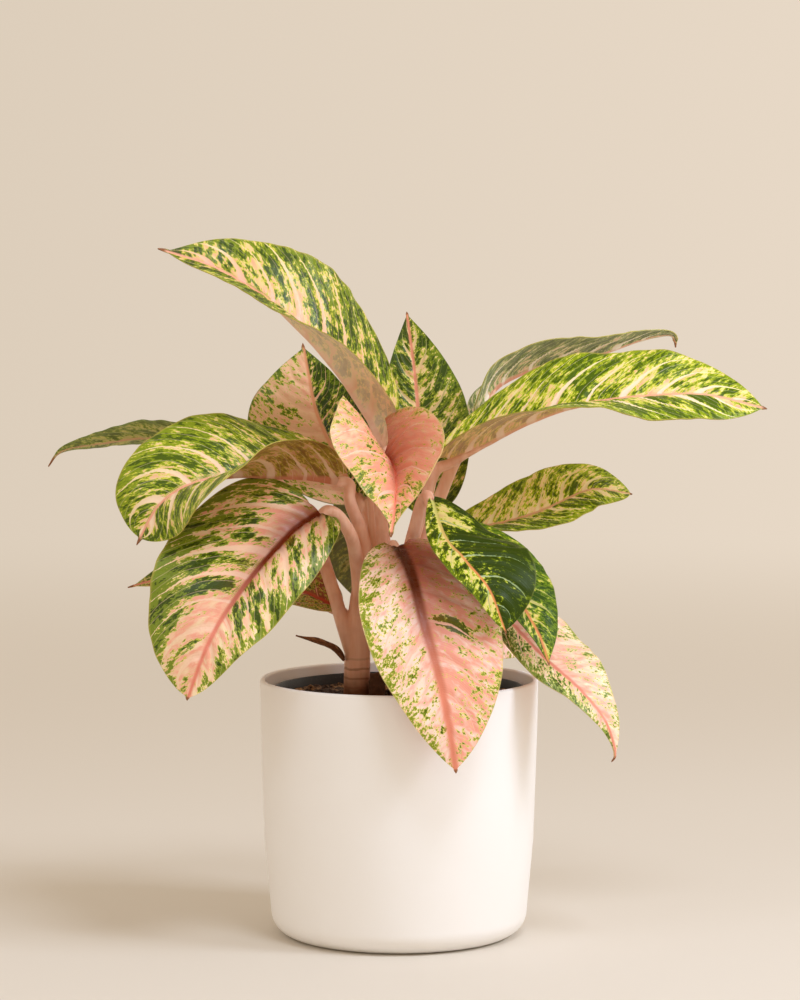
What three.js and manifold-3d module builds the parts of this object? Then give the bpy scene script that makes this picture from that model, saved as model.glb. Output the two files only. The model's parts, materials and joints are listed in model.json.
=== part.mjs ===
// A potted Chinese evergreen: canes with their stalks, leaf blades, soil, nursery pot and cover pot.
// Millimetres, +Z up. The origin is the centre of the cover pot's underside, and -Y is the front.
import * as THREE from "three";
import { mergeVertices } from "three/addons/utils/BufferGeometryUtils.js";
import Module from "manifold-3d";

const wasm = await Module();
wasm.setup();

// Driving dimensions
const COVER_RADIUS = 90; // outer radius at the rim
const COVER_HEIGHT = 166;
const COVER_WALL = 3.4;
const COVER_TAPER = 7; // how much narrower the foot is than the rim
const COVER_FOOT_ROUND = 15;
const COVER_WAIST = 110; // height where the taper towards the foot starts to show
const COVER_WAIST_IN = 1.2; // how far the wall has come in there
const NURSERY_RADIUS = 81; // outer radius at its rim
const NURSERY_RIM_DROP = 6; // below the cover pot's rim
const NURSERY_WALL = 1.6;
const NURSERY_FOOT_RADIUS = 66;
const SOIL_DROP = 12.5; // soil surface below the cover pot's rim
const SOIL_RELIEF = 1.1;
const SEAT_GAP = 0.3; // between pieces that touch
const BLADE_THICKNESS = 1;
const STALK_RADII = [5, 4.2, 3.4]; // at the cane, halfway and under the blade
const STALK_GAP = 0.45; // between a stalk and its own blade
const CANE_DEPTH = 34; // how far a cane goes down into the soil

const COVER_FLOOR = 4;
const NURSERY_BASE = COVER_FLOOR + SEAT_GAP;
const NURSERY_TOP = COVER_HEIGHT - NURSERY_RIM_DROP;
const SOIL_TOP = COVER_HEIGHT - SOIL_DROP;
const SOIL_BASE = NURSERY_BASE + NURSERY_WALL + SEAT_GAP;

const PI = Math.PI;
const root = new THREE.Group();

// Solids

function solidOf(geometry) {
  const bare = geometry.index ? geometry.toNonIndexed() : geometry.clone();
  bare.deleteAttribute("normal");
  bare.deleteAttribute("uv");
  const merged = mergeVertices(bare, 1e-4);
  return new wasm.Manifold(
    new wasm.Mesh({
      numProp: 3,
      vertProperties: merged.attributes.position.array,
      triVerts: new Uint32Array(merged.index.array),
    }),
  );
}

function geometryOf(solid) {
  const mesh = solid.getMesh();
  const geometry = new THREE.BufferGeometry();
  geometry.setAttribute("position", new THREE.BufferAttribute(new Float32Array(mesh.vertProperties), 3));
  geometry.setIndex(new THREE.BufferAttribute(new Uint32Array(mesh.triVerts), 1));
  return geometry;
}

function addPiece(name, geometry, color, roughness) {
  const material = new THREE.MeshStandardMaterial({ color, roughness, metalness: 0 });
  const mesh = new THREE.Mesh(geometry, material);
  mesh.name = name;
  root.add(mesh);
}

const at = (point) => new THREE.Vector3(...point);

// A smooth change through a start, a middle and an end value.
function blend(values, t) {
  const [a, b, c] = values;
  const middle = 2 * b - (a + c) / 2;
  return (1 - t) ** 2 * a + 2 * t * (1 - t) * middle + t * t * c;
}

// A profile of [radius, height] points turned about +Z.
function turned(profile, segments) {
  const geometry = new THREE.LatheGeometry(
    profile.map(([r, z]) => new THREE.Vector2(r, z)),
    segments,
  );
  return geometry.rotateX(PI / 2);
}

function arc(cr, cz, radius, from, to, steps) {
  const points = [];
  for (let i = 0; i <= steps; i++) {
    const angle = from + ((to - from) * i) / steps;
    points.push([cr + radius * Math.cos(angle), cz + radius * Math.sin(angle)]);
  }
  return points;
}

// A round rod along a smooth curve, with its radius at the start, middle and end.
function rod(points, radii, sides, steps) {
  const curve = new THREE.CatmullRomCurve3(points, false, "centripetal");
  const section = new THREE.Shape();
  for (let j = 0; j < sides; j++) {
    const angle = (2 * PI * j) / sides;
    section[j ? "lineTo" : "moveTo"](radii[0] * Math.cos(angle), radii[0] * Math.sin(angle));
  }
  const options = { steps, extrudePath: curve, bevelEnabled: false };
  const geometry = new THREE.ExtrudeGeometry(section, options);
  const rings = [];
  for (let i = 0; i <= steps; i++) {
    const share = i / steps;
    rings.push({ centre: curve.getPointAt(share), tangent: curve.getTangentAt(share), share });
  }
  const position = geometry.attributes.position;
  const point = new THREE.Vector3();
  for (let k = 0; k < position.count; k++) {
    point.fromBufferAttribute(position, k);
    const ring = ringOf(point, rings, radii[0]);
    point.sub(ring.centre).multiplyScalar(blend(radii, ring.share) / radii[0]).add(ring.centre);
    position.setXYZ(k, ...point.toArray());
  }
  return geometry;
}

// The ring that a point of an extruded rod belongs to: it lies in its plane, a radius from its centre.
function ringOf(point, rings, radius) {
  let best = rings[0];
  let least = Infinity;
  for (const ring of rings) {
    const offset = point.clone().sub(ring.centre);
    const miss = Math.abs(offset.dot(ring.tangent)) + Math.abs(offset.length() - radius);
    if (miss < least) {
      least = miss;
      best = ring;
    }
  }
  return best;
}

// Leaf blades

// A leaf lies along its midrib, a smooth curve from the stalk to the tip. "face" is the way its upper side
// looks at the base, middle and tip. Side A is on the right when looking along the midrib from above.
// Folds and curls are in degrees: a fold lifts a half at the midrib, a curl bends it on to its margin.

const ROWS = 13;
const RIB_HALF = 2.6; // half width of the thick midrib
const RIB_DEPTH = 3.2; // at the base, under the blade
const RINGS = [0, 0.36, 0.7, 1]; // where the grid's columns lie from the midrib's side to the margin
const VEIN_SWEEP = 0.3; // how far forward the side veins run, in half widths

function outlineWidth(u, leaf) {
  const { belly = 0.52, taper = 1.02 } = leaf;
  const start = 0.006;
  const widest = (belly - taper * start) / (belly + taper);
  const peak = (widest + start) ** belly * (1 - widest) ** taper;
  return ((u + start) ** belly * Math.max(1 - u, 0) ** taper) / peak;
}

function midribOf(leaf) {
  const curve = new THREE.CatmullRomCurve3(leaf.midrib.map(at), false, "centripetal");
  curve.arcLengthDivisions = 400;
  return { curve, length: curve.getLength() };
}

// The point of a leaf's upper side at u along the midrib, on one of the rings of one side, and the way it
// looks. A ring of -1 is the midrib itself.
function bladePoint(leaf, rib, u, ring, side) {
  const { lobe = 6, wave = [0, 3, 0] } = leaf;
  const full = outlineWidth(u, leaf) * (side > 0 ? leaf.width[0] : leaf.width[1]);
  const inner = Math.min(RIB_HALF, 0.3 * full);
  const out = ring < 0 ? 0 : inner + (full - inner) * ring;
  const share = full > 0 ? out / full : 0;
  const back = lobe * Math.max(1 - u / 0.2, 0) ** 2;
  const forward = VEIN_SWEEP * full * Math.min(u / 0.2, 1);
  const along = u * rib.length + (forward - back) * Math.max(ring, 0) ** 2;
  const t = THREE.MathUtils.clamp(along / rib.length, 0, 1);
  const centre = rib.curve.getPointAt(t);
  const tangent = rib.curve.getTangentAt(t);
  centre.addScaledVector(tangent, along - t * rib.length);
  const normal = new THREE.Vector3(
    blend(leaf.face.map((f) => f[0]), t),
    blend(leaf.face.map((f) => f[1]), t),
    blend(leaf.face.map((f) => f[2]), t),
  );
  normal.addScaledVector(tangent, -normal.dot(tangent)).normalize();
  const across = tangent.clone().cross(normal).multiplyScalar(side);
  const fold = THREE.MathUtils.degToRad(blend(side > 0 ? leaf.foldA : leaf.foldB, t));
  const bend = THREE.MathUtils.degToRad(blend(side > 0 ? leaf.curlA : leaf.curlB, t));
  const rate = Math.abs(bend) < 1e-3 ? 1e-3 : bend;
  const turn = fold + rate * share;
  const x = (full / rate) * (Math.sin(turn) - Math.sin(fold));
  const z = (full / rate) * (Math.cos(fold) - Math.cos(turn));
  const ripple = wave[0] * share ** 2 * Math.sin(2 * PI * wave[1] * u + wave[2] + (side > 0 ? 0 : 1.7));
  const lift = z + ripple * Math.sin(PI * u);
  const up = normal.clone().multiplyScalar(Math.cos(turn)).addScaledVector(across, -Math.sin(turn));
  return { point: centre.addScaledVector(across, x).addScaledVector(normal, lift), up };
}

function blade(leaf) {
  const { ribDepth = RIB_DEPTH } = leaf;
  const rib = midribOf(leaf);
  const columns = [];
  for (let k = RINGS.length - 1; k >= 0; k--) columns.push([RINGS[k], -1]);
  columns.push([-1, 1]);
  for (const ring of RINGS) columns.push([ring, 1]);
  const count = columns.length;
  const position = [];
  for (const under of [false, true]) {
    for (let i = 0; i < ROWS; i++) {
      const w = i / ROWS;
      const u = 0.5 * w + 0.25 * (1 - Math.cos(PI * w));
      for (const [ring, side] of columns) {
        const { point, up } = bladePoint(leaf, rib, u, ring, side);
        const ribbed = ring < 0 ? 1 : ring === 0 ? 0.75 : 0;
        const depth = BLADE_THICKNESS + ribbed * ribDepth * (1 - u) ** 1.5;
        if (under) point.addScaledVector(up, -depth);
        position.push(...point.toArray());
      }
    }
  }
  const tip = position.length / 3;
  position.push(...rib.curve.getPointAt(1).toArray());
  const index = [];
  const below = ROWS * count;
  const quad = (a, b, c, d) => index.push(a, b, c, a, c, d);
  for (let i = 0; i < ROWS - 1; i++) {
    for (let j = 0; j < count - 1; j++) {
      const a = i * count + j;
      quad(a, a + 1, a + 1 + count, a + count);
      index.push(below + a, below + a + 1 + count, below + a + 1);
      index.push(below + a, below + a + count, below + a + 1 + count);
    }
    const left = i * count;
    const right = i * count + count - 1;
    quad(left, left + count, below + left + count, below + left);
    quad(right + count, right, below + right, below + right + count);
  }
  for (let j = 0; j < count - 1; j++) {
    quad(j + 1, j, below + j, below + j + 1);
    const end = (ROWS - 1) * count + j;
    index.push(end, end + 1, tip, below + end + 1, below + end, tip);
  }
  const left = (ROWS - 1) * count;
  index.push(left, tip, below + left, left + count - 1, below + left + count - 1, tip);
  const geometry = new THREE.BufferGeometry();
  geometry.setAttribute("position", new THREE.Float32BufferAttribute(position, 3));
  geometry.setIndex(index);
  return geometry;
}

const LEFT = "shoot_left";
const MIDDLE = "shoot_middle";

// A leaf's "stalk" runs from inside its cane towards the base of its blade.
const LEAVES = [
  {
    name: "leaf_top_left", shoot: MIDDLE, color: 0x8aa04a, width: [55, 34], belly: 0.56, taper: 1.08,
    midrib: [[-9, 18, 317], [-20, 8, 338], [-58, -20, 388], [-108, -36, 427], [-152, -36, 443]],
    face: [[0.68, -0.25, 0.68], [0.55, -0.4, 0.75], [0.1, -0.65, 0.75]],
    foldA: [34, 34, 24], foldB: [56, 38, 8], curlA: [-6, -14, -14], curlB: [0, -10, -20],
    wave: [1.6, 2.5, 0.4],
    stalk: [[0, 8, 200], [-8, 11, 222], [-14, 16, 253], [-16, 21, 286]],
  },
  {
    name: "leaf_crown_back", shoot: MIDDLE, color: 0x4f7a35, width: [34, 27], belly: 0.42,
    midrib: [[18, 34, 277], [14, 38, 309], [12, 44, 345], [8, 50, 380], [5, 54, 402]],
    face: [[0, -1, 0.1], [0, -1, 0.2], [0, -1, 0.2]],
    foldA: [4, 2, 0], foldB: [22, 14, 4], curlA: [8, 0, -6], curlB: [8, 0, -6],
    wave: [1.4, 2.5, 1],
    stalk: [[4, 9, 205], [6, 16, 228], [13, 28, 254]],
  },
  {
    name: "leaf_back_left", shoot: LEFT, color: 0x9b9b6c, width: [30, 50],
    midrib: [[-29, 34, 283], [-42, 46, 308], [-55, 58, 337], [-60, 66, 360], [-64, 72, 381]],
    face: [[0.1, -1, 0.3], [0.1, -1, 0.2], [0.1, -1, 0.2]],
    foldA: [20, 12, 4], foldB: [20, 12, 4], curlA: [0, 0, 0], curlB: [0, -6, -6],
    stalk: [[-25, 3, 205], [-23, 6, 224], [-26, 18, 254]],
  },
  {
    name: "leaf_heart", shoot: MIDDLE, color: 0xe0907c, width: [56, 42], lobe: 30, belly: 0.36, taper: 1.6,
    midrib: [[-10, -27, 312], [-4, -45, 306], [-2, -67, 294], [-3, -87, 280], [-5, -101, 266]],
    face: [[0.05, -0.5, 0.87], [0, -0.6, 0.8], [0, -0.8, 0.6]],
    foldA: [68, 46, 20], foldB: [58, 44, 20], curlA: [-16, -14, 0], curlB: [-16, -12, 0],
    stalk: [[0, 6, 205], [-8, 4, 242], [-12, -2, 275], [-13, -12, 300]],
  },
  {
    name: "leaf_right_long", shoot: MIDDLE, color: 0xb8b84e, width: [42, 43], belly: 0.6, taper: 0.9,
    midrib: [[32, 0, 309], [54, -4, 319], [82, -10, 333], [116, -16, 344], [192, -20, 350], [235, -18, 341]],
    face: [[-0.2, -0.3, 0.95], [-0.1, -0.38, 0.95], [0.1, -0.6, 0.8]],
    foldA: [48, 24, -16], foldB: [34, 28, 26], curlA: [0, -16, -16], curlB: [-4, -8, -8],
    wave: [1.8, 3, 0],
    stalk: [[4, 4, 205], [6, 3, 240], [18, 1, 284]],
  },
  {
    name: "leaf_right_back", shoot: MIDDLE, color: 0x9aa070, width: [32, 29],
    belly: 0.45, taper: 0.8, lobe: 3,
    midrib: [
      [51, 43, 335], [62, 52, 353], [90, 60, 366], [134, 64, 375], [170, 68, 386], [182, 68, 386],
      [184, 67, 378],
    ],
    face: [[-0.3, 0.25, 0.9], [-0.2, 0.25, 0.95], [0, 0.2, 0.95]],
    foldA: [22, 12, 4], foldB: [22, 12, 4], curlA: [0, 0, 0], curlB: [0, 0, 0],
    stalk: [[6, 10, 205], [8, 14, 232], [22, 18, 270], [42, 28, 315]],
  },
  {
    name: "leaf_right_middle", shoot: MIDDLE, color: 0x8fa653, width: [22, 30], belly: 0.62, taper: 0.72,
    midrib: [[41, 4, 263], [65, 6, 266], [95, 10, 275], [124, 16, 287], [152, 20, 284]],
    face: [[0, -0.5, 0.87], [0, -0.5, 0.87], [0.1, -0.5, 0.87]],
    foldA: [34, 10, 0], foldB: [26, 18, 6], curlA: [0, -16, -10], curlB: [0, -6, -6],
    stalk: [[6, 5, 205], [10, 4, 234], [22, 4, 252]],
  },
  {
    name: "leaf_left_upper", shoot: LEFT, color: 0x8aa545, width: [51, 50], belly: 0.6, taper: 0.72,
    midrib: [[-40, -10, 296], [-63, -16, 299], [-124, -36, 297], [-150, -42, 283], [-166, -44, 256]],
    face: [[0, -0.35, 0.93], [-0.2, -0.55, 0.8], [-0.55, -0.85, 0.25]],
    foldA: [34, 26, 10], foldB: [80, 45, 0], curlA: [-4, -16, -20], curlB: [-6, -8, -8],
    wave: [1.6, 2.5, 2],
    stalk: [[-24, 0, 205], [-21, 0, 233], [-24, -2, 260], [-32, -6, 283]],
  },
  {
    name: "leaf_left_front", shoot: LEFT, color: 0x9da75e, width: [65, 34],
    belly: 0.34, taper: 0.76, lobe: 3,
    midrib: [
      [-50, -37, 276], [-65, -51, 267], [-82, -66, 250], [-101, -80, 227], [-117, -90, 201], [-131, -96, 164],
    ],
    face: [[-0.1, -0.6, 0.8], [-0.3, -0.9, 0.4], [-0.4, -0.95, 0.1]],
    foldA: [21, 5, 0], foldB: [10, 4, 0], curlA: [-10, -16, -10], curlB: [-20, -26, -20],
    wave: [1.8, 2.5, 0.8],
    stalk: [[-26, -1, 200], [-27, -5, 238], [-34, -20, 266]],
  },
  {
    name: "leaf_front_centre", shoot: MIDDLE, color: 0xdc9c85, width: [38, 48], belly: 0.5, taper: 0.88,
    midrib: [
      [-1, -26, 254], [7, -56, 241], [15, -88, 213], [25, -104, 178], [31, -110, 148], [35, -112, 121],
    ],
    face: [[0, -0.5, 0.87], [0.05, -0.85, 0.5], [0.1, -1, 0.1]],
    foldA: [8, 4, 2], foldB: [8, 4, 2], curlA: [-8, -12, -10], curlB: [-8, -12, -10],
    wave: [1.6, 3, 0.5],
    stalk: [[3, 1, 200], [3, -1, 222], [1, -8, 241]],
  },
  {
    name: "leaf_far_left", shoot: LEFT, color: 0x5c6b45, width: [28, 26],
    midrib: [
      [-97, 30, 306], [-127, 38, 315], [-163, 46, 320], [-197, 50, 316], [-224, 52, 310], [-232, 52, 300],
    ],
    face: [[0, 0.35, 0.93], [0, 0.35, 0.93], [0, 0.35, 0.93]],
    foldA: [16, 10, 4], foldB: [16, 10, 4], curlA: [0, 0, 0], curlB: [0, -4, -4],
    stalk: [[-29, 0, 178], [-35, -2, 197], [-44, 2, 227], [-54, 10, 254], [-80, 24, 292]],
  },
  {
    name: "leaf_low_left", shoot: LEFT, color: 0xa88a64, width: [30, 22],
    midrib: [[-44, 9, 213], [-68, 14, 223], [-97, 20, 230], [-136, 26, 232], [-178, 30, 222]],
    face: [[0, -0.6, 0.8], [0, -0.6, 0.8], [-0.1, -0.6, 0.8]],
    foldA: [10, 6, 2], foldB: [14, 8, 2], curlA: [0, 0, 0], curlB: [0, 0, 0],
    stalk: [[-29, 3, 184], [-35, 7, 198]],
  },
  {
    name: "leaf_right_front", shoot: MIDDLE, color: 0x4d7a33, width: [14, 42],
    belly: 0.8, taper: 0.85, lobe: 3,
    midrib: [[21, -34, 284], [29, -62, 263], [41, -84, 250], [55, -98, 234], [66, -102, 206]],
    face: [[0.3, -0.7, 0.7], [0.4, -0.8, 0.45], [0.4, -0.9, 0.1]],
    foldA: [0, 0, 0], foldB: [20, 14, 6], curlA: [-10, -16, -10], curlB: [-10, -24, -20],
    stalk: [[3, 1, 205], [4, -2, 230], [10, -16, 264]],
  },
  {
    name: "leaf_right_front_second", shoot: MIDDLE, color: 0x6f8f3c, width: [14, 33],
    midrib: [[40, -22, 264], [58, -43, 246], [75, -60, 223], [88, -70, 201], [94, -74, 183]],
    face: [[0.4, -0.7, 0.6], [0.5, -0.8, 0.4], [0.5, -0.85, 0.2]],
    foldA: [6, 4, 2], foldB: [12, 8, 4], curlA: [0, 0, 0], curlB: [-10, -20, -16],
    stalk: [[6, 3, 200], [9, 1, 225], [22, -8, 248]],
  },
  {
    name: "leaf_right_low", shoot: MIDDLE, color: 0xe3b296, width: [17, 34], taper: 1.2, belly: 0.6,
    midrib: [
      [52, -10, 227], [71, -28, 206], [93, -48, 184], [114, -60, 166], [130, -64, 146], [136, -62, 124],
      [134, -60, 120],
    ],
    face: [[0.4, -0.7, 0.7], [0.45, -0.8, 0.5], [0.6, -0.8, 0.1]],
    foldA: [4, 2, 0], foldB: [8, 4, 2], curlA: [0, -6, -6], curlB: [-6, -12, -10],
    wave: [1.4, 3, 2],
    stalk: [[7, 5, 190], [10, 5, 208], [22, 2, 226]],
  },
  {
    name: "leaf_right_low_second", shoot: MIDDLE, color: 0xe0b79f, width: [34, 20],
    midrib: [[32, 26, 222], [50, 31, 211], [72, 35, 196], [94, 37, 178]],
    face: [[0.2, -0.7, 0.7], [0.25, -0.85, 0.55], [0.3, -0.85, 0.45]],
    foldA: [10, 6, 2], foldB: [10, 6, 2], curlA: [0, 0, 0], curlB: [0, 0, 0],
    stalk: [[7, 9, 178], [8, 12, 192], [16, 17, 212]],
  },
  {
    name: "leaf_back_low", shoot: LEFT, color: 0x7f8f60, width: [22, 22],
    midrib: [[-20, 50, 284], [-26, 64, 262], [-31, 72, 236], [-28, 76, 207]],
    face: [[0, 0.7, 0.7], [0, 0.95, 0.3], [0, 1, 0.1]],
    foldA: [12, 8, 2], foldB: [12, 8, 2], curlA: [0, 0, 0], curlB: [0, 0, 0],
    stalk: [[-24, 4, 205], [-25, 12, 226], [-20, 30, 262]],
  },
];

// Canes and stalks

const CANES = {
  [LEFT]: {
    points: [[-27, 0, SOIL_TOP - CANE_DEPTH], [-27, 0, 178], [-25, 0, 215], [-22, 0, 244]],
    radii: [9, 8, 4.6],
  },
  [MIDDLE]: {
    points: [[3, 6, SOIL_TOP - CANE_DEPTH], [3, 6, 178], [4, 6, 215], [5, 7, 240]],
    radii: [9, 8, 4.6],
  },
};

// Where the stalk ends: under the base of its blade, just short of it.
function stalkEnd(leaf) {
  const rib = midribOf(leaf);
  const { point, up } = bladePoint(leaf, rib, 0, -1, 1);
  const tangent = rib.curve.getTangentAt(0);
  const drop = STALK_RADII[2] + BLADE_THICKNESS + SEAT_GAP;
  return { end: point.addScaledVector(up, -drop).addScaledVector(tangent, -STALK_GAP), tangent };
}

function stalk(leaf) {
  const { end, tangent } = stalkEnd(leaf);
  const before = end.clone().addScaledVector(tangent, -9);
  return rod([...leaf.stalk.map(at), before, end], STALK_RADII, 8, 10);
}

function shoot(name) {
  const { points, radii } = CANES[name];
  let solid = solidOf(rod(points.map(at), radii, 12, 6));
  for (const leaf of LEAVES) {
    if (leaf.shoot === name) solid = solid.add(solidOf(stalk(leaf)));
  }
  return solid;
}

const STUB = [[-14, -9, SOIL_TOP - 20], [-14, -9, 162], [-15, -9, 170]];
const STUB_RADII = [5, 5.2, 3.6];

// One dead leaf, dried to a narrow curl, at the foot of the left shoot.
const DRY_LEAF = {
  midrib: [[-34.9, -4.6, 179], [-43, -10, 187], [-55, -14, 192], [-66, -18, 196]],
  face: [[-0.3, -0.5, 0.8], [-0.2, -0.6, 0.8], [0, -0.6, 0.8]],
  width: [2.8, 2.4], lobe: 0, ribDepth: 0.5, wave: [0.6, 2, 0],
  foldA: [40, 30, 20], foldB: [40, 30, 20], curlA: [10, 10, 10], curlB: [10, 10, 10],
};

// Cover pot, nursery pot and soil

function coverPot() {
  const foot = COVER_RADIUS - COVER_TAPER;
  const lip = COVER_WALL / 2;
  const profile = [
    [0, 0],
    ...arc(foot - COVER_FOOT_ROUND, COVER_FOOT_ROUND, COVER_FOOT_ROUND, -PI / 2, -0.04, 5),
    [COVER_RADIUS - COVER_WAIST_IN, COVER_WAIST],
    ...arc(COVER_RADIUS - lip, COVER_HEIGHT - lip, lip, 0, PI, 6),
    [COVER_RADIUS - COVER_WALL - COVER_WAIST_IN, COVER_WAIST],
    ...arc(foot - COVER_FOOT_ROUND, COVER_FOOT_ROUND + 0.5, COVER_FOOT_ROUND - COVER_WALL, -0.04, -PI / 2, 4),
    [0, COVER_FLOOR],
  ];
  return turned(profile, 48);
}

function nurseryInside(z) {
  const share = (z - NURSERY_BASE) / (NURSERY_TOP - NURSERY_BASE);
  return THREE.MathUtils.lerp(NURSERY_FOOT_RADIUS, NURSERY_RADIUS, share) - NURSERY_WALL;
}

function nurseryPot() {
  const floor = NURSERY_BASE + NURSERY_WALL;
  return turned(
    [
      [0, NURSERY_BASE],
      [NURSERY_FOOT_RADIUS, NURSERY_BASE],
      [NURSERY_RADIUS, NURSERY_TOP],
      [NURSERY_RADIUS - NURSERY_WALL, NURSERY_TOP],
      [nurseryInside(floor), floor],
      [0, floor],
    ],
    48,
  );
}

// Soil: a plug with a rough top, and a plain hole for each cane and for the stub.
function soil() {
  const rim = nurseryInside(SOIL_TOP) - SEAT_GAP;
  const geometry = turned(
    [
      [0, SOIL_BASE],
      [nurseryInside(SOIL_BASE) - SEAT_GAP, SOIL_BASE],
      [rim, SOIL_TOP - SOIL_RELIEF],
      ...[0.8, 0.6, 0.4, 0.2, 0].map((share) => [rim * share, SOIL_TOP]),
    ],
    40,
  );
  const position = geometry.attributes.position;
  for (let i = 0; i < position.count; i++) {
    const x = position.getX(i);
    const y = position.getY(i);
    if (position.getZ(i) < SOIL_TOP - SOIL_RELIEF / 2) continue;
    const bump = Math.sin(x * 0.19 + 1) * Math.cos(y * 0.23) + 0.6 * Math.sin(x * 0.41 - y * 0.37);
    position.setZ(i, SOIL_TOP + SOIL_RELIEF * bump * 0.5);
  }
  let solid = solidOf(geometry);
  for (const { points, radii } of Object.values(CANES)) solid = solid.subtract(hole(points[0], radii[0]));
  return solid.subtract(hole(STUB[0], STUB_RADII[1]));
}

function hole(foot, radius) {
  const sides = 16;
  const round = (radius + SEAT_GAP) / Math.cos(PI / sides);
  const height = 2 * CANE_DEPTH;
  const cylinder = new THREE.CylinderGeometry(round, round, height, sides).rotateX(PI / 2);
  return solidOf(cylinder.translate(foot[0], foot[1], foot[2] - SEAT_GAP + height / 2));
}

addPiece("cover_pot", coverPot(), 0xf1ece4, 0.6);
addPiece("nursery_pot", nurseryPot(), 0x1b1a19, 0.5);
addPiece("soil", geometryOf(soil()), 0x4a3626, 0.95);
addPiece(LEFT, geometryOf(shoot(LEFT)), 0xdb9f8a, 0.5);
addPiece(MIDDLE, geometryOf(shoot(MIDDLE)), 0xdb9f8a, 0.5);
addPiece("cane_stub", rod(STUB.map(at), STUB_RADII, 10, 5), 0x6b4a30, 0.9);
addPiece("dry_leaf", blade(DRY_LEAF), 0x7d5638, 0.8);
for (const leaf of LEAVES) addPiece(leaf.name, blade(leaf), leaf.color, 0.4);

export default root;
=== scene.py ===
# A potted Chinese evergreen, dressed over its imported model. Metres, +Z up, and -Y is the front.
import bisect
import functools
import json
import math
import random

import bpy
from mathutils import Euler, Matrix, Vector, noise

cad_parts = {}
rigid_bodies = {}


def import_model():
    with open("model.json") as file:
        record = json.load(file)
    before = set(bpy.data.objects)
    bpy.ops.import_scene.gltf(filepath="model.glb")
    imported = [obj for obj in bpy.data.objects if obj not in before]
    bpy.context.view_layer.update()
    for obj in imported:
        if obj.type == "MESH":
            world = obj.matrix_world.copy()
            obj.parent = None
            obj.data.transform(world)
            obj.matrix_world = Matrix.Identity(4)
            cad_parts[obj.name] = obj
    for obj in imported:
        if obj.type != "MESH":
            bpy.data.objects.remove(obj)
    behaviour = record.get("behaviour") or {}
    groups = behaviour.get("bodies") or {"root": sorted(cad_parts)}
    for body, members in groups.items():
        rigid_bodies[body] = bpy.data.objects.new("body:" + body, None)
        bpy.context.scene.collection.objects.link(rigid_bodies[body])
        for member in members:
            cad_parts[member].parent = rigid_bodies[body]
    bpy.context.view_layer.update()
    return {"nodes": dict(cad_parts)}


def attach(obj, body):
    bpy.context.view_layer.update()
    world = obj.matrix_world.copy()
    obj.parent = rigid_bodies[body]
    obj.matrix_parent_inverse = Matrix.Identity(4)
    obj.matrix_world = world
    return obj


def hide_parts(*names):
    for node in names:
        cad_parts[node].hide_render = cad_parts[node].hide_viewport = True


for leftover in list(bpy.data.objects):
    bpy.data.objects.remove(leftover)

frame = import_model()
print("frame loaded:", len(frame["nodes"]), "nodes")

mm = 0.001


# settings that many shader nodes share
times = {"operation": "MULTIPLY"}
timesPlus = {"operation": "MULTIPLY_ADD"}
smoothly = {"interpolation_type": "SMOOTHSTEP"}
inColour = {"data_type": "RGBA"}


def hexColour(code):
    # sRGB hex to linear
    channels = [int(code[i:i + 2], 16) / 255 for i in (1, 3, 5)]
    linear = [c / 12.92 if c <= 0.04045 else ((c + 0.055) / 1.055) ** 2.4 for c in channels]
    return (*linear, 1.0)


def addNode(tree, kind, inputs=(), **settings):
    # adds a shader node with its settings. The inputs come by name or in order, and a map range's are its
    # value, from, full, low and high. Each is a value, a hex colour or another node's output.
    node = tree.nodes.new("ShaderNode" + kind)
    for name, value in settings.items():
        setattr(node, name, value)
    for key, value in inputs.items() if isinstance(inputs, dict) else enumerate(inputs):
        if isinstance(value, bpy.types.NodeSocket):
            tree.links.new(value, node.inputs[key])
        else:
            node.inputs[key].default_value = hexColour(value) if isinstance(value, str) else value
    return node.outputs


def startTree(owner):
    # empties the nodes of a material or the world, and gives the function that adds nodes to it
    owner.use_nodes = True
    owner.node_tree.nodes.clear()
    return functools.partial(addNode, owner.node_tree)


def startMaterial(name):
    material = bpy.data.materials.new(name)
    return material, startTree(material)


def finishMaterial(material, add, surface):
    shader = add("BsdfPrincipled", surface)[0]
    add("OutputMaterial", (shader,))
    return material


def deselectAll():
    bpy.ops.object.select_all(action="DESELECT")


def makeActive(piece):
    deselectAll()
    piece.select_set(True)
    bpy.context.view_layer.objects.active = piece


def addModifier(piece, kind, **settings):
    modifier = piece.modifiers.new(kind, kind)
    for name, value in settings.items():
        setattr(modifier, name, value)


def applyModifiers(piece):
    makeActive(piece)
    for modifier in list(piece.modifiers):
        bpy.ops.object.modifier_apply(modifier=modifier.name)


def joinPieces(pieces, name):
    deselectAll()
    for piece in pieces:
        piece.select_set(True)
    bpy.context.view_layer.objects.active = pieces[0]
    bpy.ops.object.join()
    joined = bpy.context.object
    joined.name = joined.data.name = name
    return joined


def finishPiece(piece, node, sharpFrom=180):
    # smooth shading, apart from edges that turn by more than sharpFrom degrees
    makeActive(piece)
    bpy.ops.object.shade_smooth_by_angle(angle=math.radians(sharpFrom))
    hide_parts(node)
    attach(piece, "root")


# Pots: a circle drawn out ring by ring along the pot's section, the last ring closing it

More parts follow.
